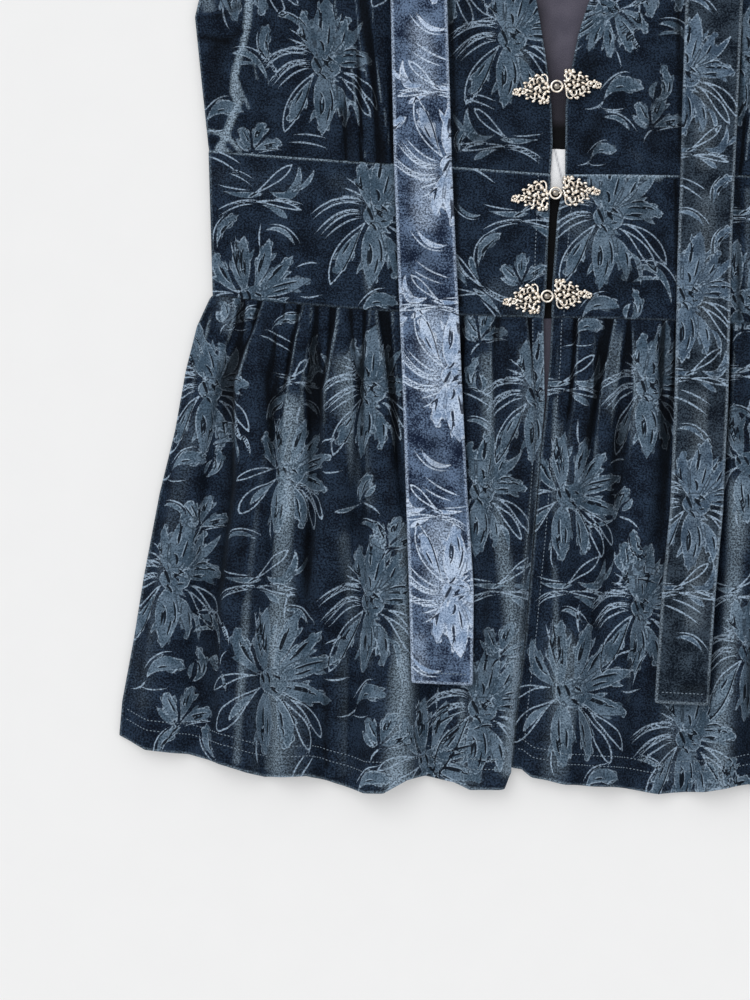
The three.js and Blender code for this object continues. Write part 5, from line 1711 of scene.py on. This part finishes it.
@dataclass
class Clasps:
    """Three hook-and-eye clasps: cast filigree halves that meet at a ring."""

    wardrobe: Wardrobe
    PLACES = (("top", -3.0, -50.4), ("middle", -0.9, 8.9), ("bottom", -2.9, 66.4))
    TILT = 8.0
    ROSE = 22.9  # how far along a half its rose is
    # Beads of a half: along from the ring, across, radius
    BEADS = (
        (4.5, 1.2, 0.9), (4.6, -1.3, 0.9), (5.4, 2.3, 1.3), (5.6, -2.0, 1.3), (5.2, 5.0, 1.2),
        (7.0, 0.2, 1.5), (7.2, 3.6, 1.4),
        (7.3, -3.6, 1.5), (6.0, 7.4, 1.3), (8.2, 6.2, 1.3), (7.9, 8.7, 1.1), (8.6, -5.9, 1.3),
        (9.4, 1.9, 1.4), (9.5, -1.5, 1.4), (10.2, 4.6, 1.2), (10.4, -4.0, 1.3), (10.6, 7.3, 1.2),
        (11.0, -7.0, 1.1), (11.8, 0.1, 1.5), (12.3, 2.9, 1.3), (12.5, -2.7, 1.2), (12.9, 5.6, 1.2),
        (13.0, -5.2, 1.3), (14.3, 1.2, 1.4), (14.5, -1.4, 1.2), (15.1, 3.8, 1.2), (15.3, -3.8, 1.2),
        (16.6, 0.1, 1.4), (17.4, 2.3, 1.1), (17.5, -2.4, 1.2), (19.0, 0.6, 1.3), (20.4, -1.3, 1.0),
        (20.7, 1.4, 1.0),
    )
    # Petals at the rim: along and across of both ends, radius
    PETALS = (
        (8.6, 7.4, 10.8, 8.9, 1.0), (12.4, 6.4, 14.9, 7.0, 0.9), (15.6, 4.6, 18.4, 4.6, 0.9),
        (8.8, -6.4, 11.4, -8.0, 1.0), (12.9, -5.8, 15.4, -6.3, 0.9), (16.0, -4.2, 18.9, -4.0, 0.9),
        (4.6, 6.8, 6.6, 9.4, 0.9), (11.0, 1.0, 13.4, 3.8, 0.8), (13.6, -1.2, 16.4, -3.0, 0.8),
    )
    # Scrolls: along, across, radius, start and sweep in degrees
    SCROLLS = (
        (8.9, 4.2, 1.8, -60, 300), (9.1, -4.4, 1.8, 60, -300), (13.6, 3.9, 1.6, -40, 290),
        (13.5, -3.7, 1.6, 40, -290), (18.6, 0.2, 1.9, 20, 300), (11.0, 0.3, 1.8, 100, 260),
    )

    def plate(self, bend: float) -> Casting:
        """A half without its ring: ribs, beads, scrolls and a rose at the tip, bent across towards it."""
        cast = Casting()
        for across in (-5.6, -3.0, 0.0, 3.0, 5.6):
            far = 22.0 - 1.1 * abs(across)
            along = np.array([4.2, 8, 13, far])
            spine = np.stack([along, across * np.array([0.25, 0.9, 1, 0.4]), (0.55, 0.6, 0.6, 0.5)], -1)
            self.rib(cast, spine)
        rng = np.random.default_rng(3)
        for along, across, radius in self.BEADS:
            size = radius * rng.uniform(0.6, 1.1)
            cast.ball(along, across, rng.uniform(0.9, 1.4) * size, size)
            turn, long = rng.uniform(0, 2 * math.pi), rng.uniform(1.8, 3.2)
            spine = np.linspace(-0.3, 0.7, 6)[:, None] * [long * math.cos(turn), long * math.sin(turn), 0.6]
            thick = rng.uniform(0.55, 0.95)
            cast.pod(spine + [along, across, 1.5], thick * np.array([0.75, 1.0, 1.0, 0.7]), flat=0.8)
        for number, row in enumerate(self.SCROLLS):
            cast.scroll(row, 1.9 + 0.25 * (number % 2))
        for x0, y0, x1, y1, radius in self.PETALS:
            share = np.linspace(0, 1, 6)[:, None]
            spine = np.array([x0, y0, 1.0]) + share * [x1 - x0, y1 - y0, 0.3]
            cast.pod(spine, radius * np.array([0.7, 1.0, 1.0, 0.75]), flat=0.8)
        cast.scroll((self.ROSE, 0.0, 2.3, 170, 330), 1.0)
        cast.scroll((self.ROSE, 0.0, 1.9, -20, -320), 1.5)
        for angle in (20, 110, 200, 290):
            turn = math.radians(angle)
            cast.ball(self.ROSE + 1.5 * math.cos(turn), 1.5 * math.sin(turn), 1.2, 1.0)
        cast.ball(self.ROSE, 0.1, 1.8, 0.8)
        for points in cast.points:
            points[:, 1] += bend * ((points[:, 0] - 4) / 21.4) ** 2
        return cast

    @staticmethod
    def rib(cast: Casting, corners: np.ndarray) -> None:
        """Add a rib under the beads, painted dark as shade under them."""
        key = np.arange(len(corners))
        fine = np.linspace(0, len(corners) - 1, 9)
        spine = np.stack([np.interp(fine, key, corners[:, axis]) for axis in range(3)], -1)
        cast.pod(spine, np.full(7, 0.5), shade=0.2)

    def eye(self) -> Casting:
        """Half with the ring, and a curl above it."""
        cast = self.plate(1.4)
        cast.hoop(3.1, 0.62, 2.2)
        cast.wire(((5.6, -1.2), (4.7, -3.6), (4.8, -6.0), (6.0, -7.4), (7.3, -7.0)), 1.2, 0.6)
        neck = np.array([(2.9, 0, 1.6), (3.6, 0, 1.5), (5.2, 0, 1.2), (6.6, 0, 1.0)])
        cast.pod(neck, np.array([1.0, 1.1]), flat=0.8)
        return cast

    def hook(self) -> Casting:
        """Half with the arm that ends in a domed stud inside the ring, and two curls."""
        cast = self.plate(-1.6)
        cast.wire(((5.9, -1.4), (5.0, -3.6), (5.0, -5.6), (6.1, -7.2), (7.5, -7.2)), 1.2, 0.55)
        cast.wire(((6.4, 1.5), (5.8, 4.4), (5.9, 6.8), (6.8, 8.0), (8.0, 7.6)), 1.2, 0.6)
        arm = np.array([(-0.9, 0, 0.5), (0, 0, 0.5), (5, 0, 0.5), (6.1, 0, 0.6)])
        cast.pod(arm, np.array([0.7, 0.8]), flat=0.6)
        # The dome is painted dark as a reflection, and the small bright ball set off its middle is a painted
        # highlight.
        angles = np.radians((180, 150, 120, 90, 60, 30, 0))
        for radius, aside, height, shade in ((2.0, 0.0, 1.5, 0.22), (0.75, 0.5, 3.1, 1.0)):
            spine = np.array([-aside, aside, height]) + np.cos(angles)[:, None] * [radius, 0, 0]
            cast.pod(spine, radius * np.sin(angles[1:-1]), sides=10, shade=shade)
        return cast

    def build(self) -> None:
        """Cast and place the six halves."""
        for word, x, down in self.PLACES:
            for half, turn, cast in (("eye", 180.0, self.eye()), ("hook", 0.0, self.hook())):
                node = f"clasp_{word}_{half}"
                angle = math.radians(self.TILT + turn)
                points = np.concatenate(cast.points)
                placed = np.stack([
                    x + points[:, 0] * math.cos(angle) - points[:, 1] * math.sin(angle),
                    -down + points[:, 0] * math.sin(angle) + points[:, 1] * math.cos(angle),
                    np.maximum(points[:, 2], 0.0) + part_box(node)[0][2] / MM,
                ], -1)
                faces = [np.concatenate(cast.faces[4]), np.concatenate(cast.faces[3])]
                shade = {"shade": np.concatenate(cast.shade)}
                piece = make_object(f"{node}_cast", placed, faces, [self.wardrobe.metal], None, shade)
                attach(piece, "root")
                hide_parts(node)


@dataclass
class Front(Cloth):
    """Bodice, waistband and peplum of one front, and the stitching on them."""

    spacing: float = 1.05

    def out(self, down: float | np.ndarray, share: np.ndarray) -> np.ndarray:
        """Distance out at a share of the way from the opening to the side."""
        return blend(opening_out(self.hand, down), side_out(down), share)

    def bodice(self) -> Sheet:
        """Bodice: bust fullness, a soft fold at the side and gathers that fan up from the seam."""
        s, t = np.meshgrid(shares(192, 1.15), shares(275, 1.2))
        top_out = blend(SHOULDER_NECK[0], SHOULDER_TIP[0], s)
        hand = self.hand.value
        seam = read(BAND_SEAMS, hand * self.out(0, s)) - GAP / 2
        down = blend(seam, bodice_top(top_out), t)
        out = self.out(down, s)
        above = -down
        full, bust_out, wide, bust_down, long = BUST
        inside = 1 - ((out - bust_out) / wide) ** 2 - ((down - bust_down) / long) ** 2
        high, low_out, high_out, half = SIDE_FOLD
        away = np.clip(np.abs(out - low_out - (high_out - low_out) * above / 100) / half, 0, 1)
        height = high * np.cos(np.pi / 2 * away) ** 2 * (1 - smooth(above, 60, 120))
        height += full * np.clip(inside, 0, None) ** 2
        for waist, higher, high, reach in BUST_GATHERS:
            away = np.clip(np.abs(out - waist - (higher - waist) * above / 100) / GATHER_HALF, 0, 1)
            height += high * (1 - smooth(above, 0.3 * reach, reach)) * np.cos(np.pi / 2 * away) ** 2
        rest = VELOUR + GAP + loft(out, down) + seam_rise(down - seam)
        return Sheet(np.stack([hand * out, -down, rest + height + VELOUR / 2], -1), VELOUR)

    def waistband(self) -> Sheet:
        """Waistband: flat between its seams."""
        s, t = np.meshgrid(shares(190, 0.85), shares(80, 0.85))
        hand = self.hand.value
        top = read(BAND_SEAMS, hand * self.out(0, s), 1) + GAP / 2
        low = read(BAND_SEAMS, hand * self.out(BAND_HIGH, s), 2) - GAP / 2
        down = blend(top, low, t)
        out = self.out(down, s)
        height = BAND + GAP + loft(out, down) + BAND / 2
        return Sheet(np.stack([hand * out, -down, height], -1), BAND)

    def peplum(self) -> Sheet:
        """Peplum: folds that stand up between two edges each, over the back's low folds."""
        s, t = np.meshgrid(shares(226, self.spacing), shares(255, 1.15))
        hand = self.hand.value
        folds, hem = (FOLDS_RIGHT, HEM_RIGHT) if self.hand is Hand.RIGHT else (FOLDS_LEFT, HEM_LEFT)
        edge = opening_out(self.hand, blend(BAND_HIGH, HEM_OPENING, t))
        side = side_out(blend(BAND_SEAMS[0][2], HEM_SIDE, t))
        out = blend(edge, side, s)
        hem_out = blend(opening_out(self.hand, HEM_OPENING), side_out(HEM_SIDE), s)
        seam = read(BAND_SEAMS, hand * self.out(BAND_HIGH, s), 2) + GAP / 2
        down = blend(seam, read(hem, hem_out), t)
        flank = blend(*FLANKS, t)
        height = np.zeros_like(out)
        shift = np.zeros_like(out)
        for side_edge, front_edge, high, lean in folds:
            rise = step(np.interp(t, STATIONS, side_edge) - out, flank)
            rise *= step(out - np.interp(t, STATIONS, front_edge), flank)
            height += np.interp(t, STATIONS, high) * rise
            shift += lean * rise
        at_side = smooth(side - out, 0, SIDE_CALM)
        height += puckers(out, down - seam, 11 if self.hand is Hand.RIGHT else 12)
        rest = VELOUR + GAP + loft(out, down) + seam_rise(down - seam) + back_folds(hand * out, t)
        x = hand * (out + shift * at_side)
        return Sheet(np.stack([x, -down, rest + height * at_side + VELOUR / 2], -1), VELOUR)

    def build(self) -> list[Sheet]:
        """Build and dress the three pieces."""
        bodice, waistband, peplum = self.bodice(), self.waistband(), self.peplum()
        word = self.hand.name.lower()
        start = (-135, -57) if self.hand is Hand.RIGHT else (99, -70)
        extra = {"bodice": repeat_places((-220, -300), (220, -118), start), "waistband": (), "peplum": ()}
        if self.hand is Hand.LEFT:
            extra["bodice"] += repeat_places((124, -117), (215, 0), (162, -62))
            extra["waistband"] = repeat_places((126, -8), (200, 80), (158, 22))
            extra["peplum"] = repeat_places((136, 76), (232, 345), (168, 112))
        for part, sheet, flat, area, held, rims, calm in (
            ("bodice", bodice, (215, 276), 41500, "laid", (0, 0, 0.5, 0.5), 0.24),
            ("waistband", waistband, (192, 82), None, "laid", (0.9, 0.35, 0.5, 0.4), 0.0),
            ("peplum", peplum, (290, 258), None, "gathered", (0, 0.6, 0.45, 0.4), 0.0),
        ):
            name = f"{part}_front_{word}"
            self.dress(
                name, sheet, flat, held, [f"{part}_back"], places=PLACES[name] + extra[part], area=area,
                sheen_shade=self.painted_light(name, sheet, rims, calm),
            )
        self.stitch(waistband, peplum)
        return [bodice, waistband, peplum]

    def stitch(self, waistband: Sheet, peplum: Sheet) -> None:
        """Two rows above the hem, and a row along the opening."""
        for part, sheet, rows in (
            ("waistband", waistband, ((0.032, 0.0, 0.032, 1.0),)),
            ("peplum", peplum, (
                (0.027, 0.0, 0.027, 0.935), (0.01, 0.937, 0.99, 0.937), (0.01, 0.959, 0.99, 0.959),
            )),
        ):
            stitching = Stitching(self.wardrobe)
            for row in rows:
                stitching.row(sheet, row[:2], row[2:])
            stitching.build(f"{part}_front_{self.hand.name.lower()}_stitching")

    def painted_light(
        self, name: str, sheet: Sheet, rims: tuple[float, float, float, float], calm: float,
    ) -> np.ndarray:
        """Painted sheen (above 0) and painted shade (below 0) of a piece: its relief's, its own paths' and
        its rims', from -1 to 1.

        Args:
            name: Name of the piece.
            sheet: The piece.
            rims: Strengths of the painted sheen at its borders.
            calm: How much painted shade the pile gets where the painted sheen and shade are weak.

        Returns:
            The painted sheen and shade at each point.
        """
        paths = painted_paths(sheet, SHADE_AND_SHEEN_PATHS[name]) * (0.7 + 0.5 * drift(sheet, 9, 16, 6))
        # Painted sheen and shade added up; calm adds painted shade where they are weak.
        wear_sheen_and_shade = relief_light_and_shade(sheet) + paths + rim_sheen(sheet, rims)
        return np.clip(wear_sheen_and_shade - calm * (1 - smooth(np.abs(wear_sheen_and_shade), 0.25, 0.6)), -1, 1)


@dataclass
class Tie(Cloth):
    """A long flat tie, which lies on the highest folds under it."""

    below: np.ndarray = field(default_factory=lambda: np.zeros((0, 3)))
    spacing: float = 0.85
    REACH = 9.0  # how far along and aside the tie feels what lies under it, mm
    ASIDE = 18.0
    WINDOW = 17  # cross lines that are evened out together

    def build(self) -> bpy.types.Object:
        """Build and dress the tie."""
        table = TIE_RIGHT if self.hand is Hand.RIGHT else TIE_LEFT
        start, end = table[0][0], table[-1][0]
        s, t = np.meshgrid(shares(30, self.spacing), shares(end - start, self.spacing))
        down = blend(start, end, t)
        middle = self.hand.value * read(table, down)
        x = middle + (2 * s - 1) * read(table, down, 2)
        rest = self.rest(down[:, 0], middle[:, 0])[:, None] * np.ones_like(x)
        sheet = Sheet(np.stack([x, -down, rest + TIE / 2], -1), TIE)
        word = self.hand.name.lower()
        outside = self.wardrobe.tie_sheen_bright if self.hand is Hand.RIGHT else self.wardrobe.tie_sheen_grey
        # Painted sheen along the rims, and painted sheen and shade along the listed paths.
        sheen_shade = rim_sheen(sheet, (0, 0.9, 0.9, 0.9)) + painted_paths(sheet, SHADE_AND_SHEEN_PATHS[f"tie_{word}"])
        places = PLACES[f"tie_{word}"]
        for rise in (REPEAT[1], 2 * REPEAT[1]):
            for kind, x0, low, *how in PLACES[f"tie_{word}"]:
                if -90 < low < 28:
                    lean = self.hand.value * float(read(table, low - rise) - read(table, low))
                    places += ((kind, x0 + lean, low - rise, *how),)
        below = [f"bodice_front_{word}_cloth", f"waistband_front_{word}_cloth", f"peplum_front_{word}_cloth"]
        stitching = Stitching(self.wardrobe)
        stitching.row(sheet, (0.07, 0.991), (0.93, 0.991))
        stitching.build(f"tie_{word}_stitching")
        return self.dress(
            f"tie_{word}", sheet, (32, 556), "laid", below, outside, places, sheen_shade=np.clip(sheen_shade, -1, 1),
        )

    def rest(self, down: np.ndarray, middle: np.ndarray) -> np.ndarray:
        """Height of the tie's underside: the highest point near each cross line, then evened out."""
        highest = np.zeros(len(down))
        for index in range(len(down)):
            near = np.abs(self.below[:, 1] + down[index]) < self.REACH
            near &= np.abs(self.below[:, 0] - middle[index]) < self.ASIDE
            highest[index] = self.below[near, 2].max()
        padded = np.pad(highest, self.WINDOW // 2, mode="edge")
        top = np.lib.stride_tricks.sliding_window_view(padded, self.WINDOW).max(axis=1)
        padded = np.pad(top, self.WINDOW // 2, mode="edge")
        return np.convolve(padded, np.ones(self.WINDOW) / self.WINDOW, mode="valid") + GAP


@dataclass
class Studio:
    """Camera, floor and lights."""

    aim: tuple[float, float] = (-93.1, 35.6 - 184.0)
    frame_high: float = 555.6
    distance: float = 2.2
    cloth_height: float = 8.0
    turn: float = 0.0471

    def camera(self) -> None:
        """Camera straight above, turned so that the garment tilts as in the photograph."""
        data = bpy.data.cameras.new("camera")
        data.sensor_fit = "VERTICAL"
        data.sensor_height = 36.0
        data.lens = data.sensor_height * self.distance / (self.frame_high * MM)
        data.clip_end = 20
        camera = bpy.data.objects.new("camera", data)
        camera.location = (self.aim[0] * MM, self.aim[1] * MM, self.distance + self.cloth_height * MM)
        camera.rotation_euler = (0, 0, self.turn)
        bpy.context.scene.collection.objects.link(camera)
        bpy.context.scene.camera = camera

    def floor(self) -> None:
        """Plain pale floor just under the cloth."""
        mesh = bpy.data.meshes.new("floor")
        half, low = 4.0, -0.0003
        corners = [(-half, -half, low), (half, -half, low), (half, half, low), (-half, half, low)]
        mesh.from_pydata(corners, [], [(0, 1, 2, 3)])
        paper = PlainFinish("paper", colour(205, 205, 205), colour(208, 208, 208), 0.9, 40.0, glow=0.24)
        mesh.materials.append(paper.material())
        floor = bpy.data.objects.new("floor", mesh)
        bpy.context.scene.collection.objects.link(floor)

    def lamp(self, name: str, place: tuple, spread: float, power: float, tone: tuple) -> None:
        """A soft even light from a direction, as wide as its spread in degrees."""
        data = bpy.data.lights.new(name, "SUN")
        data.angle = math.radians(spread)
        data.energy = power
        data.color = tone
        lamp = bpy.data.objects.new(name, data)
        lamp.location = place
        lamp.rotation_euler = (Vector((0, 0, 0)) - Vector(place)).to_track_quat("-Z", "Y").to_euler()
        bpy.context.scene.collection.objects.link(lamp)

    def lights(self) -> None:
        """A large soft light from the upper left, far enough to be even, and a pale surround."""
        self.lamp("key", (-0.45, 0.45, 1.0), 46.0, 0.95, (1.0, 0.997, 0.99))
        world = bpy.data.worlds.new("surround")
        world.use_nodes = True
        world.node_tree.nodes["Background"].inputs["Color"].default_value = (0.985, 0.99, 1.0, 1)
        world.node_tree.nodes["Background"].inputs["Strength"].default_value = 0.775
        bpy.context.scene.world = world
        bpy.context.scene.view_settings.view_transform = "Standard"

    def build(self) -> None:
        """Set everything up."""
        self.camera()
        self.floor()
        self.lights()


def main() -> None:
    logging.basicConfig(level=logging.INFO, format="%(message)s")
    Studio().build()
    wardrobe, pattern = Wardrobe(), Pattern()
    back = Back(wardrobe, pattern)
    back.bodice()
    back.waistband()
    back.peplum()
    Label(wardrobe, pattern).build()
    for hand in Hand:
        sheets = Front(wardrobe, pattern, hand).build()
        below = np.concatenate([sheet.top.reshape(-1, 3) for sheet in sheets])
        Tie(wardrobe, pattern, hand, below).build()
    Clasps(wardrobe).build()


if __name__ == "__main__":
    main()
